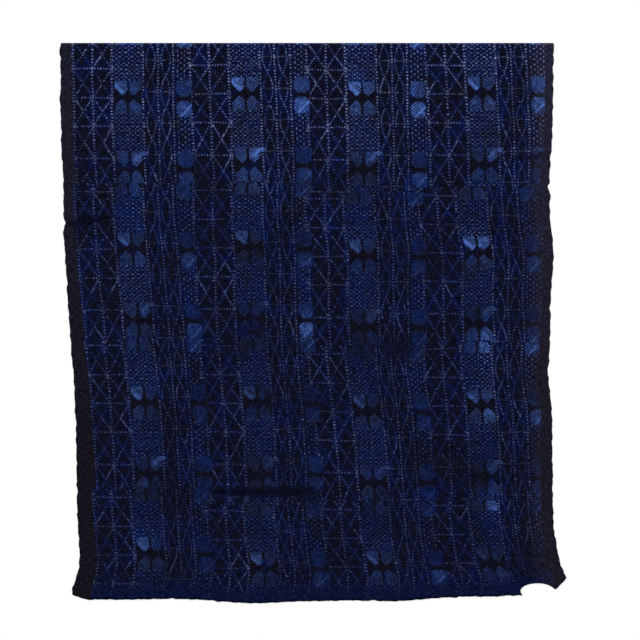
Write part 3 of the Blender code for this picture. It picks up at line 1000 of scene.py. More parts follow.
LATTICE = (
    ("upright_x", "PINGPONG", "p", HALF_CELL_WIDTH),
    ("upright_y", "PINGPONG", "q", 3.6),
    ("cell_top", "DIVIDE", "q", CELL_HEIGHT),
    ("cell_upper", "MINIMUM", "cell_top", 3.0),
    ("q_low", "SUBTRACT", "q", 3 * CELL_HEIGHT),
    ("q_lower", "MAXIMUM", "q_low", 0.0),
    ("cell", "MULTIPLY_ADD", "q_lower", 1 / LAST_CELL_HEIGHT, "cell_upper"),
    ("in_cell", "FRACT", "cell"),
    ("from_middle", "SUBTRACT", "in_cell", 0.5),
    ("off_middle", "ABSOLUTE", "from_middle"),
    ("to_level", "MULTIPLY_ADD", "off_middle", -2 * MEAN_HALF_HEIGHT, MEAN_HALF_HEIGHT),
    ("level_x", "PINGPONG", "p", 3.15),
    ("arm_line", "MULTIPLY_ADD", "upright_x", 0.5 / HALF_CELL_WIDTH, "off_middle"),
    ("arm_off", "SUBTRACT", "arm_line", 0.5),
    ("arm_signed", "MULTIPLY", "arm_off", 36.2),
    ("arm_x", "ABSOLUTE", "arm_signed"),
    ("arm_y", "PINGPONG", "q", 2.8),
    ("half_cell_x", "MULTIPLY_ADD", "p", 1 / HALF_CELL_WIDTH, "column"),
    ("arm_number_x", "FLOOR", "half_cell_x"),
    ("half_cell_y", "MULTIPLY_ADD", "cell", 2.0, "row"),
    ("arm_number_y", "FLOOR", "half_cell_y"),
)

# The comb's dashes stand further apart in its upper part
COMB = (
    ("comb_first", "MULTIPLY_ADD", "past_first", 7.7, -104.0),
    ("comb_p", "ADD", "p", "comb_first"),
    ("comb_half", "MULTIPLY_ADD", "past_first", -1.15, 6.95),
    ("comb_x", "PINGPONG", "comb_p", "comb_half"),
    ("comb_y", "PINGPONG", "q", COMB_ROWS_APART),
    ("comb_far_x", "SUBTRACT", "comb_half", "comb_x"),
    ("comb_far_y", "SUBTRACT", COMB_ROWS_APART, "comb_y"),
)

COMB_SQUARES = (
    ("square_q0", "ADD", "q", 27.0),
    ("square_q1", "MULTIPLY_ADD", "past_first", -154.0, "square_q0"),
    ("square_q", "MULTIPLY_ADD", "past_second", -159.0, "square_q1"),
    ("square_p", "SUBTRACT", "p", 122.5),
    ("square_ax", "ABSOLUTE", "square_p"),
    ("square_ay", "ABSOLUTE", "square_q"),
    ("square_dx", "SUBTRACT", "square_ax", 16.2),
    ("square_sx", "ABSOLUTE", "square_dx"),
    ("square_dy", "SUBTRACT", "square_ay", 21.2),
    ("square_sy", "ABSOLUTE", "square_dy"),
    ("square_near", "ADD", "square_ax", "square_ay"),
    ("square_slant", "SUBTRACT", "square_ax", "square_ay"),
    ("square_wide", "MULTIPLY_ADD held", "square_sx", -0.5, 7.2),
    ("square_tall", "MULTIPLY_ADD held", "square_sy", -0.5, 8.4),
    ("square_chamfer", "MULTIPLY_ADD held", "square_near", 0.4, -6.2),
    ("square_cut", "MULTIPLY_ADD held", "square_slant", -0.5, 5.7),
    ("square_body", "MULTIPLY", "square_wide", "square_tall"),
    ("square_corners", "MULTIPLY", "square_chamfer", "square_cut"),
    ("in_square", "MULTIPLY", "square_body", "square_corners"),
    ("square_line", "PINGPONG", "square_slant", HALF_HATCH),
    ("square_stroke", "MULTIPLY_ADD held", "square_line", -1.3, 2.55),
    ("clear_x", "MULTIPLY_ADD held", "square_ax", -0.5, 17.0),
    ("clear_y", "MULTIPLY_ADD held", "square_ay", -0.5, 19.0),
    ("square_clear", "MULTIPLY", "clear_x", "clear_y"),
)

# One square of the first four always prints as a solid bar, and one of the next as a hook
COMB_BARS = (
    ("bar_off", "SUBTRACT", "square_slant", 0.5),
    ("bar_away", "ABSOLUTE", "bar_off"),
    ("bar_shape", "MULTIPLY_ADD held", "bar_away", -0.4, 2.2),
    ("left_side", "LESS_THAN", "square_p", 0.0),
    ("upper_side", "LESS_THAN", "square_q", 0.0),
    ("first_only", "SUBTRACT", "past_first", "past_second"),
    ("bar_corner", "MULTIPLY", "left_side", "upper_side"),
    ("bar_there", "MULTIPLY", "bar_corner", "first_only"),
    ("square_bar", "MULTIPLY", "bar_shape", "bar_there"),
    ("fill_offset", "MULTIPLY_ADD", "filled", 2.2, -3.4),
    ("fill_patch", "MULTIPLY_ADD held", "blots", 5.0, "fill_offset"),
    ("fill", "MULTIPLY", "fill_patch", 0.65),
    ("square_full", "MAXIMUM", "square_bar", "fill"),
    ("square_fill", "MAXIMUM", "square_stroke", "square_full"),
    ("square_bright", "MULTIPLY_ADD", "square_bar", 0.35, 1.0),
    ("square_inked", "MULTIPLY", "square_fill", "square_bright"),
    ("square_drawn", "MULTIPLY", "square_inked", "in_square"),
    ("hook_up", "SUBTRACT", "square_p", "square_q"),
    ("hook_along", "SUBTRACT", "hook_up", 44.0),
    ("hook_down", "ADD", "square_p", "square_q"),
    ("hook_aside", "ADD", "hook_down", 8.0),
    ("hook_x", "ABSOLUTE", "hook_along"),
    ("hook_y", "ABSOLUTE", "hook_aside"),
    ("tip_p", "SUBTRACT", "square_p", 32.0),
    ("tip_q", "ADD", "square_q", 34.0),
    ("tip_x", "ABSOLUTE", "tip_p"),
    ("tip_y", "ABSOLUTE", "tip_q"),
)

ZIGZAG = (
    ("lane_p", "SUBTRACT", "p", 156.5),
    ("lane_x", "PINGPONG", "lane_p", HALF_LANE),
    ("lane_y", "PINGPONG", "q", 3.45),
    ("wave_q", "SUBTRACT", "q", 45.0),
    ("wave_half", "PINGPONG", "wave_q", HALF_WAVE),
    ("wave_share", "MULTIPLY", "wave_half", 1 / HALF_WAVE),
    ("wave_bulge", "MULTIPLY", "wave_share", "wave_share"),
    ("wave_line", "MULTIPLY_ADD", "wave_bulge", WAVE_REACH, -WAVE_REACH),
    ("wave_middle", "SUBTRACT", HALF_LANE, "lane_x"),
    ("wave_off", "ADD", "wave_middle", "wave_line"),
    ("wave_signed", "MULTIPLY", "wave_off", 0.93),
    ("wave_x", "ABSOLUTE", "wave_signed"),
    ("wave_y", "PINGPONG", "q", 2.9),
    ("lane_place", "MULTIPLY_ADD", "lane_p", 1 / HALF_LANE, "column"),
    ("lane_number", "FLOOR", "lane_place"),
    ("wave_place", "MULTIPLY_ADD", "wave_q", 1 / HALF_WAVE, "row"),
    ("wave_number", "FLOOR", "wave_place"),
    ("row_place", "ADD", "wave_place", 0.5),
    ("row_number", "FLOOR", "row_place"),
    ("row_x", "PINGPONG", "p", 2.8),
)

BRICK = (
    ("brick_p", "SUBTRACT", "p", 233.5),
    ("brick_x", "PINGPONG", "brick_p", HALF_BRICK[0]),
    ("brick_y", "PINGPONG", "q", HALF_BRICK[1]),
    ("brick_far_x", "SUBTRACT", HALF_BRICK[0], "brick_x"),
    ("brick_far_y", "SUBTRACT", HALF_BRICK[1], "brick_y"),
)

BRICK_SQUARES = (
    ("patch_p", "SUBTRACT", "p", LAST_SQUARES_P),
    ("patch_q0", "ADD", "q", 26.0),
    ("patch_q1", "MULTIPLY_ADD", "past_first", -156.5, "patch_q0"),
    ("patch_q", "MULTIPLY_ADD", "past_second", -157.5, "patch_q1"),
    ("patch_ax", "ABSOLUTE", "patch_p"),
    ("patch_ay", "ABSOLUTE", "patch_q"),
    ("patch_dy", "SUBTRACT", "patch_ay", 23.0),
    ("patch_sy", "ABSOLUTE", "patch_dy"),
    ("patch_sum", "ADD", "patch_ax", "patch_sy"),
    ("patch_wide", "MULTIPLY_ADD held", "patch_ax", -0.5, 9.3),
    ("patch_tall", "MULTIPLY_ADD held", "patch_sy", -0.5, 9.8),
    ("patch_chamfer", "MULTIPLY_ADD held", "patch_sum", -0.4, 11.4),
    ("patch_box", "MULTIPLY", "patch_wide", "patch_tall"),
    ("in_patch", "MULTIPLY", "patch_box", "patch_chamfer"),
    ("patch_slant", "ADD", "patch_p", "patch_ay"),
    ("patch_line", "PINGPONG", "patch_slant", HALF_HATCH),
    ("patch_stroke", "MULTIPLY_ADD held", "patch_line", -1.3, 2.60),
    ("patch_side", "GREATER_THAN", "patch_q", 0.0),
    ("patch_gap_y", "MULTIPLY_ADD held", "patch_ay", -0.5, 4.5),
    ("patch_gap_x", "MULTIPLY_ADD held", "patch_ax", -0.5, 10.5),
    ("patch_gap", "MULTIPLY", "patch_gap_x", "patch_gap_y"),
)

# The lower square of each pair prints with a solid sash
BRICK_BARS = (
    ("sash_off", "SUBTRACT", "patch_slant", 31.0),
    ("sash_away", "ABSOLUTE", "sash_off"),
    ("sash_shape", "MULTIPLY_ADD held", "sash_away", -0.4, 2.4),
    ("sash", "MULTIPLY", "sash_shape", "patch_side"),
    ("patch_full", "MAXIMUM", "sash", "fill"),
    ("patch_fill", "MAXIMUM", "patch_stroke", "patch_full"),
    ("patch_tone", "MULTIPLY", "patch_fill", 0.80),
    ("patch_bright", "MULTIPLY_ADD", "sash", 0.35, 1.0),
    ("patch_shown", "MULTIPLY", "patch_tone", "patch_bright"),
)

# A few lines of the lattice and of the waves are solid in place of beaded
BEADS = (
    ("arm_solid", "GREATER_THAN", "arm_0", 0.80),
    ("arm_bead", "SUBTRACT", 1.0, "arm_solid"),
    ("arm_beads", "MULTIPLY", "arm_y", "arm_bead"),
    ("wave_solid", "GREATER_THAN", "wave_0", 0.90),
    ("wave_bead", "SUBTRACT", 1.0, "wave_solid"),
    ("wave_beads", "MULTIPLY", "wave_y", "wave_bead"),
)

MARKS = (
    # name, distance across, half width, distance along, half length
    ("upright", "upright_x", 2.6, "upright_y", 1.7),
    ("level", "to_level", 1.7, "level_x", 1.5),
    ("arm", "arm_x", 1.5, "arm_beads", 1.5),
    ("comb_dash", "comb_x", 3.3, "comb_y", 1.3),
    ("comb_dot", "comb_far_x", 1.3, "comb_far_y", 1.9),
    ("rail", "lane_x", 2.3, "lane_y", 1.7),
    ("wave", "wave_x", 1.5, "wave_beads", 1.6),
    ("rung", "wave_half", 1.5, "row_x", 1.5),
    ("brick_upright", "brick_x", 1.4, "brick_y", 3.0),
    ("brick_level", "brick_far_x", 2.9, "brick_far_y", 1.4),
    ("hook", "hook_x", 19.0, "hook_y", 8.0),
    ("tip", "tip_x", 8.0, "tip_y", 4.5),
)

# Some arms, waves and rungs took less ink than others
DRAWN_MARKS = (
    ("arm_ink", "MULTIPLY_ADD", "arm_1", 0.80, 0.22),
    ("arm_drawn", "MULTIPLY", "arm", "arm_ink"),
    ("wave_ink", "MULTIPLY_ADD", "wave_1", 0.65, 0.30),
    ("wave_drawn", "MULTIPLY", "wave", "wave_ink"),
    ("lattice_1", "MAXIMUM", "upright", "level"),
    ("lattice", "MAXIMUM", "lattice_1", "arm_drawn"),
    ("comb", "MAXIMUM", "comb_dash", "comb_dot"),
    ("zigzag_1", "MAXIMUM", "rail", "wave_drawn"),
    ("rung_ink", "MULTIPLY_ADD", "rung_0", 0.80, 0.15),
    ("rung_drawn", "MULTIPLY", "rung", "rung_ink"),
    ("zigzag", "MAXIMUM", "zigzag_1", "rung_drawn"),
    ("brick", "MAXIMUM", "brick_upright", "brick_level"),
)

# Which column a place lies in, what is drawn there, how dry the ground is, and how far
# the dye of the nearest marks has spread
PICK_COLUMN = (
    ("past_lattice", "GREATER_THAN", "p", 89.4),
    ("past_comb", "GREATER_THAN", "p", 153.8),
    ("past_zigzag", "GREATER_THAN", "p", 229.2),
    ("in_lattice", "SUBTRACT", 1.0, "past_lattice"),
    ("in_comb", "SUBTRACT", "past_lattice", "past_comb"),
    ("in_zigzag", "SUBTRACT", "past_comb", "past_zigzag"),
    ("lattice_shown", "MULTIPLY", "lattice", 0.92),
    ("dots_1", "MULTIPLY", "lattice_shown", "in_lattice"),
    ("not_clear", "SUBTRACT", 1.0, "square_clear"),
    ("comb_kept", "MULTIPLY", "comb", "not_clear"),
    ("comb_shown", "MULTIPLY", "comb_kept", 0.64),
    ("dots_2", "MULTIPLY_ADD", "comb_shown", "in_comb", "dots_1"),
    ("zigzag_shown", "MULTIPLY", "zigzag", 0.88),
    ("dots_3", "MULTIPLY_ADD", "zigzag_shown", "in_zigzag", "dots_2"),
    ("brick_shown", "MULTIPLY", "brick", 0.66),
    ("dots_4", "MULTIPLY_ADD", "brick_shown", "past_zigzag", "dots_3"),
    ("hook_or_tip", "MAXIMUM", "hook", "tip"),
    ("hook_there", "MULTIPLY", "hook_or_tip", "past_second"),
    ("hook_drawn", "MULTIPLY", "hook_there", 1.2),
    ("square_shown", "MULTIPLY", "square_drawn", "in_comb"),
    ("squares_1", "MAXIMUM", "square_shown", "hook_drawn"),
    ("near_level", "MULTIPLY_ADD held", "arm_signed", 0.35, -0.25),
    ("near_upright", "MULTIPLY_ADD held", "arm_signed", -0.20, -0.25),
    ("triangles", "MULTIPLY_ADD", "near_upright", 0.45, "near_level"),
    ("lattice_dry", "MULTIPLY_ADD", "triangles", 0.40, 0.35),
    ("dry_1", "MULTIPLY", "lattice_dry", "in_lattice"),
    ("dry_2", "MULTIPLY_ADD", "in_zigzag", 0.45, "dry_1"),
    ("dry_3", "MULTIPLY_ADD", "past_zigzag", 0.40, "dry_2"),
    ("dry_4", "MULTIPLY_ADD", "in_comb", 0.12, "dry_3"),
    ("clear_here", "MULTIPLY", "square_clear", "in_comb"),
    ("dry_5", "MULTIPLY_ADD", "clear_here", 0.80, "dry_4"),
    ("patch_zone", "MAXIMUM", "in_patch", "patch_gap"),
    ("dry_6", "MULTIPLY_ADD", "patch_zone", 0.35, "dry_5"),
    ("lattice_line", "MINIMUM", "upright_x", "to_level"),
    ("lattice_away", "MINIMUM", "lattice_line", "arm_x"),
    ("zigzag_away", "MINIMUM", "lane_x", "wave_x"),
    ("lattice_halo", "MULTIPLY_ADD held", "lattice_away", -0.12, 0.95),
    ("zigzag_halo", "MULTIPLY_ADD held", "zigzag_away", -0.13, 0.95),
    ("halo_1", "MULTIPLY", "lattice_halo", "in_lattice"),
    ("halo_2", "MULTIPLY_ADD", "zigzag_halo", "in_zigzag", "halo_1"),
    ("comb_halo", "MULTIPLY_ADD", "in_square", 0.45, 0.86),
    ("comb_soaked", "MULTIPLY_ADD", "square_clear", -0.80, "comb_halo"),
    ("halo_3", "MULTIPLY_ADD", "comb_soaked", "in_comb", "halo_2"),
    ("brick_halo", "MULTIPLY_ADD", "in_patch", 0.40, 0.64),
    ("brick_soaked", "MULTIPLY_ADD", "patch_gap", -0.60, "brick_halo"),
    ("halo", "MULTIPLY_ADD", "brick_soaked", "past_zigzag", "halo_3"),
    ("soaked", "SUBTRACT held", 1.0, "dry_6"),
    ("patch_rest", "SUBTRACT", 1.0, "patch_zone"),
    ("dots_5", "MULTIPLY", "dots_4", "patch_rest"),
    ("squares_2", "MULTIPLY", "squares_1", "patch_rest"),
    ("squares_3", "MULTIPLY_ADD", "patch_shown", "in_patch", "squares_2"),
)

# Where the cloth is printed, and how much ink and wash it took
PRINTED_AREA = (
    ("left_edge", "MULTIPLY_ADD held", "from_start", 0.4, 2.0),
    ("right_limit", "MULTIPLY_ADD", "down_true", -0.010, 1083.0),
    ("right_room", "SUBTRACT", "right_limit", "across_true"),
    ("right_edge", "MULTIPLY_ADD held", "right_room", 0.30, 0.5),
    ("printed", "MULTIPLY", "left_edge", "right_edge"),
    ("right_blend", "MULTIPLY_ADD held", "right_room", 0.016, 0.10),
    ("dyed_area", "MULTIPLY", "left_edge", "right_blend"),
    ("blotch_ink", "MULTIPLY_ADD", "blotches", 0.8, 0.60),
    ("spot_raw", "MULTIPLY_ADD", "spots", 4.8, -1.4),
    ("spot_ink", "MAXIMUM", "spot_raw", 0.0),
    ("ink_1", "MULTIPLY", "blotch_ink", "strength"),
    ("ink", "MULTIPLY", "ink_1", "printed"),
    ("dots_6", "MULTIPLY", "dots_5", "spot_ink"),
    ("dots", "MULTIPLY", "dots_6", "ink"),
    ("square_fade", "MULTIPLY_ADD held", "strength", 0.40, 0.60),
    ("square_gain", "MULTIPLY_ADD", "square_ink", 0.75, 0.70),
    ("square_taken", "MULTIPLY", "square_gain", "square_fade"),
    ("squares_4", "MULTIPLY", "squares_3", "square_taken"),
    ("squares_5", "MULTIPLY", "squares_4", "ink"),
    ("squares", "MINIMUM", "squares_5", 1.10),
    ("wash_1", "MULTIPLY_ADD", "soaks", 1.9, -2.00),
    ("wash_2", "MULTIPLY_ADD", "blotches", 1.7, "wash_1"),
    ("wash_3", "MULTIPLY_ADD", "halo", 1.05, "wash_2"),
    ("wash_4", "MAXIMUM", "wash_3", 0.0),
    ("wash_gain", "MULTIPLY_ADD held", "strength", 1.90, 0.20),
    ("wash_5", "MULTIPLY", "wash_4", "wash_gain"),
    ("hem_wash", "MULTIPLY", "hem_blue", 0.50),
    ("wash_6", "MAXIMUM", "wash_5", "hem_wash"),
    ("washed", "MULTIPLY", "wash_6", "dyed_area"),
    # How far down, for the painted shade of the border towards the hem
    ("lowness", "MULTIPLY_ADD held", "down_true", 1 / 750, -0.2),
)


def print_chart(tree, known):
    """Adds the whole print to a shader: how much dot colour and square colour each place takes."""
    columns = LATTICE + COMB + COMB_SQUARES + COMB_BARS + ZIGZAG + BRICK + BRICK_SQUARES + BRICK_BARS
    work_out(tree, known, IN_STAMP + columns)
    chances(tree, known, "arm", "arm_number_x", "arm_number_y", "column")
    chances(tree, known, "wave", "lane_number", "wave_number", "row")
    chances(tree, known, "rung", "row_number", "lane_number", "column")
    work_out(tree, known, BEADS)
    for row in MARKS:
        mark(tree, known, *row)
    work_out(tree, known, DRAWN_MARKS + PICK_COLUMN + PRINTED_AREA)


# Plain weave: each thread passes over one and under the next, so two threads make a turn.
# The real ones lie about 1 mm apart, too fine to show, and are drawn 1.3 mm apart.
TWO_THREADS = 2.6
WEAVE = (
    ("warp_turn", "MULTIPLY", "across_true", 2 * math.pi / TWO_THREADS),
    ("weft_turn", "MULTIPLY", "down_true", 2 * math.pi / TWO_THREADS),
    ("warp_wave", "SINE", "warp_turn"),
    ("weft_wave", "SINE", "weft_turn"),
    ("crossing", "MULTIPLY", "warp_wave", "weft_wave"),
    ("slub_height", "MULTIPLY_ADD", "slubs", 1.6, -0.8),
    ("weave_height", "ADD", "crossing", "slub_height"),
    ("weave_tone", "MULTIPLY_ADD", "crossing", 0.06, -0.60),
    ("warp_tone", "MULTIPLY_ADD", "slubs", 1.80, "weave_tone"),
    ("slub_tone", "MULTIPLY_ADD", "slubs_across", 1.40, "warp_tone"),
)

NOISES = (
    # name, scale per metre, detail, stretch across, stretch down
    ("drift", 11.0, 1.0, 1.0, 1.0),
    ("shake", 95.0, 0.0, 1.0, 1.0),
    ("blotches", 16.0, 2.0, 1.0, 0.7),
    ("soaks", 34.0, 3.0, 1.0, 0.8),
    ("spots", 175.0, 1.0, 1.0, 1.0),
    ("blots", 75.0, 0.0, 1.0, 1.0),
    ("slubs", 320.0, 1.0, 1.0, 0.30),
    ("slubs_across", 320.0, 1.0, 0.30, 1.0),
)

# How far the drift and the shake of the hand move the print, in mm. The noises lie
# round 0.5, so half of that is taken off again.
WANDER = {"drift": 4.0, "shake": 1.6}
WANDER_START = -0.5 * sum(WANDER.values())
MM = 1000.0
PLACES = (
    ("across_true", "MULTIPLY", "across_m", MM),
    ("down_true", "MULTIPLY", "down_m", MM),
    ("p_0", "MULTIPLY_ADD", "p_m", MM, WANDER_START),
    ("p_1", "MULTIPLY_ADD", "drift_x", WANDER["drift"], "p_0"),
    ("p", "MULTIPLY_ADD", "shake_x", WANDER["shake"], "p_1"),
    ("q_0", "MULTIPLY_ADD", "q_m", MM, WANDER_START),
    ("q_1", "MULTIPLY_ADD", "drift_y", WANDER["drift"], "q_0"),
    ("q", "MULTIPLY_ADD", "shake_y", WANDER["shake"], "q_1"),
)


def read_numbers(tree, known):
    """Reads what the sheet knows at each point: ink, shade, stamp places and squares."""
    attributes = (
        # name on the mesh, words for its value or its parts
        ("print_strength_and_shade", ("strength_full",)),
        ("ground_shade_and_fading", ("shade",)),
        ("stamp_number", ("column", "row")),
        ("square_inks", ("square_ink", "filled", "hem_blue")),
    )
    for name, words in attributes:
        node = add_node(
            tree, "ShaderNodeAttribute", {"attribute_type": "GEOMETRY", "attribute_name": name}
        )
        parts = [node.outputs["Fac"]]
        if len(words) > 1:
            parts = add_node(tree, "ShaderNodeSeparateXYZ", {}, {0: node.outputs["Vector"]}).outputs
        for word, part in zip(words, parts):
            known[word] = part


def cloth_places(tree, known):
    """Flat places on the cloth in mm, true and as a hand placed the stamps, with their noises."""
    flat = add_node(tree, "ShaderNodeUVMap", {"uv_map": "cloth_metres"}).outputs[0]
    true = add_node(tree, "ShaderNodeSeparateXYZ", {}, {0: flat})
    known["across_m"], known["down_m"] = true.outputs[0], true.outputs[1]
    stamped = add_node(tree, "ShaderNodeUVMap", {"uv_map": "stamp_place"}).outputs[0]
    on_stamp = add_node(tree, "ShaderNodeSeparateXYZ", {}, {0: stamped})
    known["p_m"], known["q_m"] = on_stamp.outputs[0], on_stamp.outputs[1]
    for name, scale, detail, across, down in NOISES:
        stretched = add_node(
            tree,
            "ShaderNodeVectorMath",
            {"operation": "MULTIPLY"},
            {0: flat, 1: (across, down, 1.0)},
        )
        noise = add_node(
            tree,
            "ShaderNodeTexNoise",
            {"noise_dimensions": "2D"},
            {"Vector": stretched.outputs[0], "Scale": scale, "Detail": detail},
        )
        known[name] = noise.outputs["Fac"]
        if name in WANDER:
            parts = add_node(tree, "ShaderNodeSeparateColor", {}, {0: noise.outputs["Color"]})
            known[name + "_x"], known[name + "_y"] = parts.outputs[0], parts.outputs[1]
    work_out(tree, known, PLACES)


def printed_cotton(name, look, share):
    """Handwoven cotton dyed with indigo over a resist: a matte dark ground with soft paler marks.

    share is how much of the print comes through: 1 on the face, little on the reverse.
    """
    material = bpy.data.materials.new(name)
    material.use_nodes = True
    tree = material.node_tree
    shader = tree.nodes["Principled BSDF"]
    known = {}
    read_numbers(tree, known)
    cloth_places(tree, known)
    work_out(tree, known, (("strength", "MULTIPLY", "strength_full", share),))
    print_chart(tree, known)
    work_out(tree, known, WEAVE)
    layers = (
        # result, amount, under, over
        # Painted shade: the border darkens downwards as the light falls off
        ("bare", "lowness", look.border, look.border_low_shaded),
        ("soaked_ground", "soaked", look.dry, look.ground),
        ("plain", "dyed_area", "bare", "soaked_ground"),
        ("washed_plain", "washed", "plain", look.wash),
        ("dotted", "dots", "washed_plain", look.marks),
        ("finished", "squares", "dotted", look.squares),
    )
    for result, amount, *ends in layers:
        under, over = (known[end] if isinstance(end, str) else (*end, 1.0) for end in ends)
        mixed = add_node(
            tree,
            "ShaderNodeMix",
            {"data_type": "RGBA", "clamp_factor": False},
            {"Factor": known[amount], "A": under, "B": over},
        )
        known[result] = mixed.outputs["Result"]
    # The weave's tone times the painted shade and highlight and the fading of the cloth
    work_out(tree, known, (("tone", "MULTIPLY", "slub_tone", "shade"),))
    toned = add_node(
        tree,
        "ShaderNodeVectorMath",
        {"operation": "SCALE"},
        {0: known["finished"], "Scale": known["tone"]},
    )
    tree.links.new(toned.outputs[0], shader.inputs["Base Color"])
    relief = add_node(
        tree,
        "ShaderNodeBump",
        {},
        {"Strength": 0.5, "Distance": THREAD_RELIEF, "Height": known["weave_height"]},
    )
    tree.links.new(relief.outputs[0], shader.inputs["Normal"])
    shader.inputs["Roughness"].default_value = COTTON_ROUGHNESS
    shader.inputs["Specular IOR Level"].default_value = look.shine
    return material


def two_toned(name, under, over, scale, detail, roughness):
    """A matte material that drifts between two tones, in blotches of 1 / scale metres."""
    material = bpy.data.materials.new(name)
    material.use_nodes = True
    tree = material.node_tree
    shader = tree.nodes["Principled BSDF"]
    places = add_node(tree, "ShaderNodeTexCoord")
    inputs = {"Vector": places.outputs["Object"], "Scale": scale, "Detail": detail}
    noise = add_node(tree, "ShaderNodeTexNoise", {}, inputs)
    inputs = {"Factor": noise.outputs["Fac"], "A": (*under, 1.0), "B": (*over, 1.0)}
    mixed = add_node(tree, "ShaderNodeMix", {"data_type": "RGBA", "clamp_factor": False}, inputs)
    tree.links.new(mixed.outputs["Result"], shader.inputs["Base Color"])
    shader.inputs["Roughness"].default_value = roughness
    return material, shader


def thread_cotton(look):
    """Loose cotton yarn dyed through with indigo: matte, nearly black, a little paler where it frayed."""
    material, shader = two_toned(
        "indigo_cotton_yarn", look.border, look.ground, 60.0, 1.0, COTTON_ROUGHNESS
    )
    shader.inputs["Specular IOR Level"].default_value = look.shine
    return material


def pale_paint():
    """Matt white studio paint, which bounces the light softly."""
    paint, crest_highlight = linear_colour("#efefed"), linear_colour("#e9e9e7")
    return two_toned("matt_white_paint", paint, crest_highlight, 3.0, 3.0, 0.8)[0]


# Loose threads of the edges


def thread_tree(material):
    """Geometry nodes that set a short bent thread at even steps along the cloth's open edge."""
    tree = bpy.data.node_groups.new("edge_threads", "GeometryNodeTree")
    sockets = (
        # name, kind, default
        ("Geometry", "NodeSocketGeometry", None),
        ("Spacing", "NodeSocketFloat", THREAD_SPACING),
        ("Selvedge Length", "NodeSocketFloat", SELVEDGE_THREAD),
        ("Cut Length", "NodeSocketFloat", CUT_THREAD),
        ("Thread Radius", "NodeSocketFloat", THREAD_RADIUS),
        ("Seed", "NodeSocketInt", 7),
    )
    for name, kind, default in sockets:
        socket = tree.interface.new_socket(name, in_out="INPUT", socket_type=kind)
        if default is not None:
            socket.default_value = default
    tree.interface.new_socket("Geometry", in_out="OUTPUT", socket_type="NodeSocketGeometry")
    given = add_node(tree, "NodeGroupInput").outputs

    line = add_node(tree, "GeometryNodeMeshToCurve", {}, {0: given["Geometry"]})
    spaced = add_node(
        tree,
        "GeometryNodeResampleCurve",
        {"mode": "LENGTH"},
        {"Curve": line.outputs[0], "Length": given["Spacing"]},
    )
    outward = add_node(
        tree, "GeometryNodeInputNamedAttribute", {"data_type": "FLOAT_VECTOR"}, {"Name": "outward"}
    )
    cut = add_node(
        tree, "GeometryNodeInputNamedAttribute", {"data_type": "FLOAT"}, {"Name": "cut"}
    )
    turn = add_node(
        tree,
        "FunctionNodeAlignRotationToVector",
        {"axis": "X"},
        {"Vector": outward.outputs["Attribute"]},
    )
    chance = add_node(
        tree,
        "FunctionNodeRandomValue",
        {"data_type": "FLOAT_VECTOR"},
        {0: tuple(-most for most in THREAD_TILT), 1: THREAD_TILT, "Seed": given["Seed"]},
    )
    tilt = add_node(tree, "FunctionNodeEulerToRotation", {}, {0: chance.outputs[0]})
    turned = add_node(
        tree,
        "FunctionNodeRotateRotation",
        {"rotation_space": "LOCAL"},
        {"Rotation": turn.outputs[0], "Rotate By": tilt.outputs[0]},
    )
    length = add_node(
        tree,
        "ShaderNodeMix",
        {"data_type": "FLOAT"},
        {
            "Factor": cut.outputs["Attribute"],
            "A": given["Selvedge Length"],
            "B": given["Cut Length"],
        },
    )
    other_seed = add_node(
        tree, "ShaderNodeMath", {"operation": "ADD"}, {0: given["Seed"], 1: 1.0}
    )
    shortest, longest = THREAD_STRETCH
    stretch = add_node(
        tree,
        "FunctionNodeRandomValue",
        {"data_type": "FLOAT"},
        {"Min": shortest, "Max": longest, "Seed": other_seed.outputs[0]},
    )
    long = add_node(
        tree,
        "ShaderNodeMath",
        {"operation": "MULTIPLY"},
        {0: length.outputs[0], 1: stretch.outputs[1]},
    )
    scale = add_node(
        tree, "ShaderNodeCombineXYZ", {}, {0: long.outputs[0], 1: stretch.outputs[1], 2: 1.0}
    )
    arc = add_node(tree, "GeometryNodeCurveQuadraticBezier", {}, {"Resolution": 4, **THREAD_ARC})
    section = add_node(
        tree,
        "GeometryNodeCurvePrimitiveCircle",
        {"mode": "RADIUS"},
        {"Resolution": 3, "Radius": given["Thread Radius"]},
    )
    thread = add_node(
        tree,
        "GeometryNodeCurveToMesh",
        {},
        {"Curve": arc.outputs[0], "Profile Curve": section.outputs[0], "Fill Caps": True},
    )
    set_out = add_node(
        tree,
        "GeometryNodeInstanceOnPoints",
        {},
        {
            "Points": spaced.outputs[0],
            "Instance": thread.outputs[0],
            "Rotation": turned.outputs[0],
            "Scale": scale.outputs[0],
        },
    )
    real = add_node(tree, "GeometryNodeRealizeInstances", {}, {0: set_out.outputs[0]})
    dyed = add_node(
        tree, "GeometryNodeSetMaterial", {}, {"Geometry": real.outputs[0], "Material": material}
    )
    add_node(tree, "NodeGroupOutput", {}, {0: dyed.outputs[0]})
    return tree


def set_input(modifier, tree, name, value):
    """Sets a modifier's input by its socket's identifier."""
    for item in tree.interface.items_tree:
        if item.item_type == "SOCKET" and item.in_out == "INPUT" and item.name == name:
            modifier[item.identifier] = value
            return
    raise ValueError(f"the tree has no input named {name}")


# What a user may change


class ClothSizes(bpy.types.PropertyGroup):
    """Sizes of the sheet and its threads."""

    thickness: bpy.props.FloatProperty(
        name="Thickness", description="Thickness of the woven cloth", default=0.0014, unit="LENGTH"
    )
    step: bpy.props.FloatProperty(
        name="Grid step",
        description="Distance between the sheet's points",
        default=0.0068,
        unit="LENGTH",
    )
    fine_step: bpy.props.FloatProperty(
        name="Fine step",
        description="Distance between points at the hem, the fold and the right selvedge",
        default=0.0036,
        unit="LENGTH",
    )
    thread_spacing: bpy.props.FloatProperty(
        name="Thread spacing",
        description="Step between loose threads",
        default=THREAD_SPACING,
        unit="LENGTH",
    )
    thread_radius: bpy.props.FloatProperty(
        name="Thread radius",
        description="Half the thickness of a loose thread",
        default=THREAD_RADIUS,
        unit="LENGTH",
    )


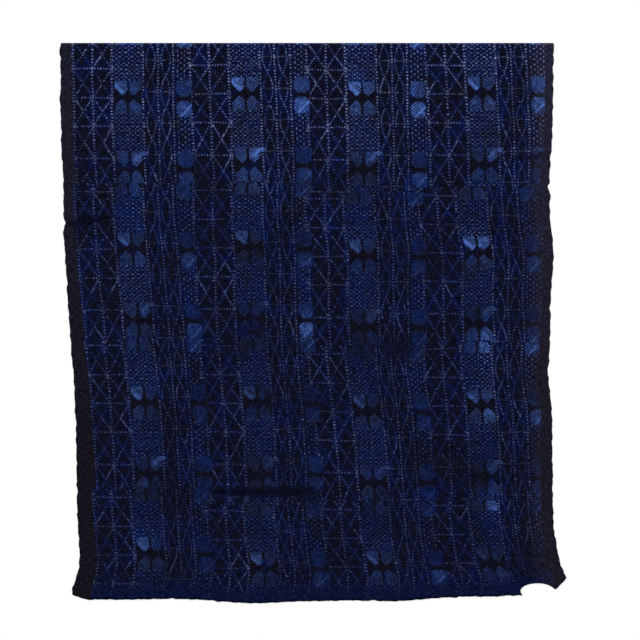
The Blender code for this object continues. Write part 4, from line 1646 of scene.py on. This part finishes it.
class ClothLook(bpy.types.PropertyGroup):
    """Colours of the dye and the print."""

    border: bpy.props.FloatVectorProperty(
        name="Border",
        description="Cotton outside the print",
        default=linear_colour("#181724"),
        subtype="COLOR",
    )
    # The border near the hem is darker: painted shade where the light falls off downwards
    border_low_shaded: bpy.props.FloatVectorProperty(
        name="Lower border",
        description="Cotton outside the print, near the hem",
        default=linear_colour("#121018"),
        subtype="COLOR",
    )
    dry: bpy.props.FloatVectorProperty(
        name="Dry ground",
        description="Cotton the dye soaked least",
        default=linear_colour("#0c0c18"),
        subtype="COLOR",
    )
    ground: bpy.props.FloatVectorProperty(
        name="Ground",
        description="Cotton between the marks",
        default=linear_colour("#080c1e"),
        subtype="COLOR",
    )
    wash: bpy.props.FloatVectorProperty(
        name="Wash",
        description="Dye that ran between the marks",
        default=linear_colour("#051038"),
        subtype="COLOR",
    )
    marks: bpy.props.FloatVectorProperty(
        name="Marks",
        description="Dots and dashes of the print",
        default=linear_colour("#4e5775"),
        subtype="COLOR",
    )
    squares: bpy.props.FloatVectorProperty(
        name="Squares",
        description="Strokes of the hatched squares",
        default=linear_colour("#3a538f"),
        subtype="COLOR",
    )
    shine: bpy.props.FloatProperty(
        name="Shine",
        description="Specular level of the dry cotton",
        default=0.02,
        min=0.0,
        max=1.0,
        subtype="FACTOR",
    )


class MUDCLOTH_OT_cloth(bpy.types.Operator):
    """Make the hung sheet with its print and weave, and the threads of its edges"""

    bl_idname = "mudcloth.cloth"
    bl_label = "Cloth"

    def execute(self, context):
        scene = context.scene
        mesh, guide_mesh = hung_sheet(scene.cloth_sizes)
        look = scene.cloth_look
        mesh.materials.append(printed_cotton("resist_printed_indigo_cotton", look, 1.0))
        mesh.materials.append(printed_cotton("indigo_cotton_reverse", look, REVERSE_SHARE))
        yarn = thread_cotton(look)
        mesh.materials.append(yarn)
        cloth = bpy.data.objects.new("hung_cloth", mesh)
        scene.collection.objects.link(cloth)

        guide = bpy.data.objects.new("edge_guide", guide_mesh)
        scene.collection.objects.link(guide)
        tree = thread_tree(yarn)
        modifier = guide.modifiers.new("threads", "NODES")
        modifier.node_group = tree
        set_input(modifier, tree, "Spacing", scene.cloth_sizes.thread_spacing)
        set_input(modifier, tree, "Thread Radius", scene.cloth_sizes.thread_radius)
        context.view_layer.update()
        graph = context.evaluated_depsgraph_get()
        threads_mesh = bpy.data.meshes.new_from_object(guide.evaluated_get(graph))
        bpy.data.objects.remove(guide)
        if not threads_mesh.polygons:
            raise RuntimeError("the edge threads came out empty")
        threads = bpy.data.objects.new("edge_threads", threads_mesh)
        scene.collection.objects.link(threads)

        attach(cloth, "root")
        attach(threads, "root")
        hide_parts("mud_cloth")
        return {"FINISHED"}


class MUDCLOTH_OT_stage(bpy.types.Operator):
    """Make the pale floor, the soft lights and the camera"""

    bl_idname = "mudcloth.stage"
    bl_label = "Stage"

    def execute(self, context):
        scene = context.scene
        floor_mesh = bpy.data.meshes.new("floor")
        sheet = bmesh.new()
        bmesh.ops.create_circle(sheet, cap_ends=True, segments=96, radius=FLOOR_RADIUS)
        bmesh.ops.translate(sheet, verts=sheet.verts, vec=(0.0, 0.0, FLOOR_HEIGHT))
        sheet.to_mesh(floor_mesh)
        sheet.free()
        floor_mesh.materials.append(pale_paint())
        floor = bpy.data.objects.new("floor", floor_mesh)
        scene.collection.objects.link(floor)

        world = bpy.data.worlds.new("white_room")
        world.use_nodes = True
        background = world.node_tree.nodes["Background"]
        background.inputs["Color"].default_value = (1.0, 1.0, 1.0, 1.0)
        background.inputs["Strength"].default_value = 1.0
        scene.world = world
        scene.view_settings.view_transform = "Standard"

        for name, place, size, power in LIGHTS:
            data = bpy.data.lights.new(name, "AREA")
            data.shape = "SQUARE"
            data.size = size
            data.energy = power
            lamp = bpy.data.objects.new(name, data)
            aim = Vector(LIGHT_AIM) - Vector(place)
            lamp.location = place
            lamp.rotation_euler = aim.to_track_quat("-Z", "Y").to_euler()
            scene.collection.objects.link(lamp)

        data = bpy.data.cameras.new("camera")
        camera = bpy.data.objects.new("camera", data)
        camera.location = (CAMERA_ACROSS, -CAMERA_AWAY - FRONT_FACE, CAMERA_HEIGHT)
        camera.rotation_euler = (math.pi / 2, 0.0, 0.0)
        data.sensor_width = SENSOR_WIDTH
        data.lens = SENSOR_WIDTH * CAMERA_AWAY / VIEW_WIDTH
        scene.collection.objects.link(camera)
        scene.camera = camera
        return {"FINISHED"}


class MUDCLOTH_PT_panel(bpy.types.Panel):
    """The pieces of the mud cloth, with their sizes and colours"""

    bl_idname = "MUDCLOTH_PT_panel"
    bl_label = "Mud cloth"
    bl_space_type = "VIEW_3D"
    bl_region_type = "UI"
    bl_category = "Mud cloth"

    def draw(self, context):
        layout = self.layout
        for group in (context.scene.cloth_sizes, context.scene.cloth_look):
            for name in group.__annotations__:
                layout.prop(group, name)
        for operator in (MUDCLOTH_OT_cloth, MUDCLOTH_OT_stage):
            layout.operator(operator.bl_idname)


CLASSES = (ClothSizes, ClothLook, MUDCLOTH_OT_cloth, MUDCLOTH_OT_stage, MUDCLOTH_PT_panel)


def register():
    for item in CLASSES:
        bpy.utils.register_class(item)
    bpy.types.Scene.cloth_sizes = bpy.props.PointerProperty(type=ClothSizes)
    bpy.types.Scene.cloth_look = bpy.props.PointerProperty(type=ClothLook)


def unregister():
    del bpy.types.Scene.cloth_look
    del bpy.types.Scene.cloth_sizes
    for item in reversed(CLASSES):
        bpy.utils.unregister_class(item)


def main():
    register()
    bpy.ops.mudcloth.stage()
    bpy.ops.mudcloth.cloth()


if __name__ == "__main__":
    main()
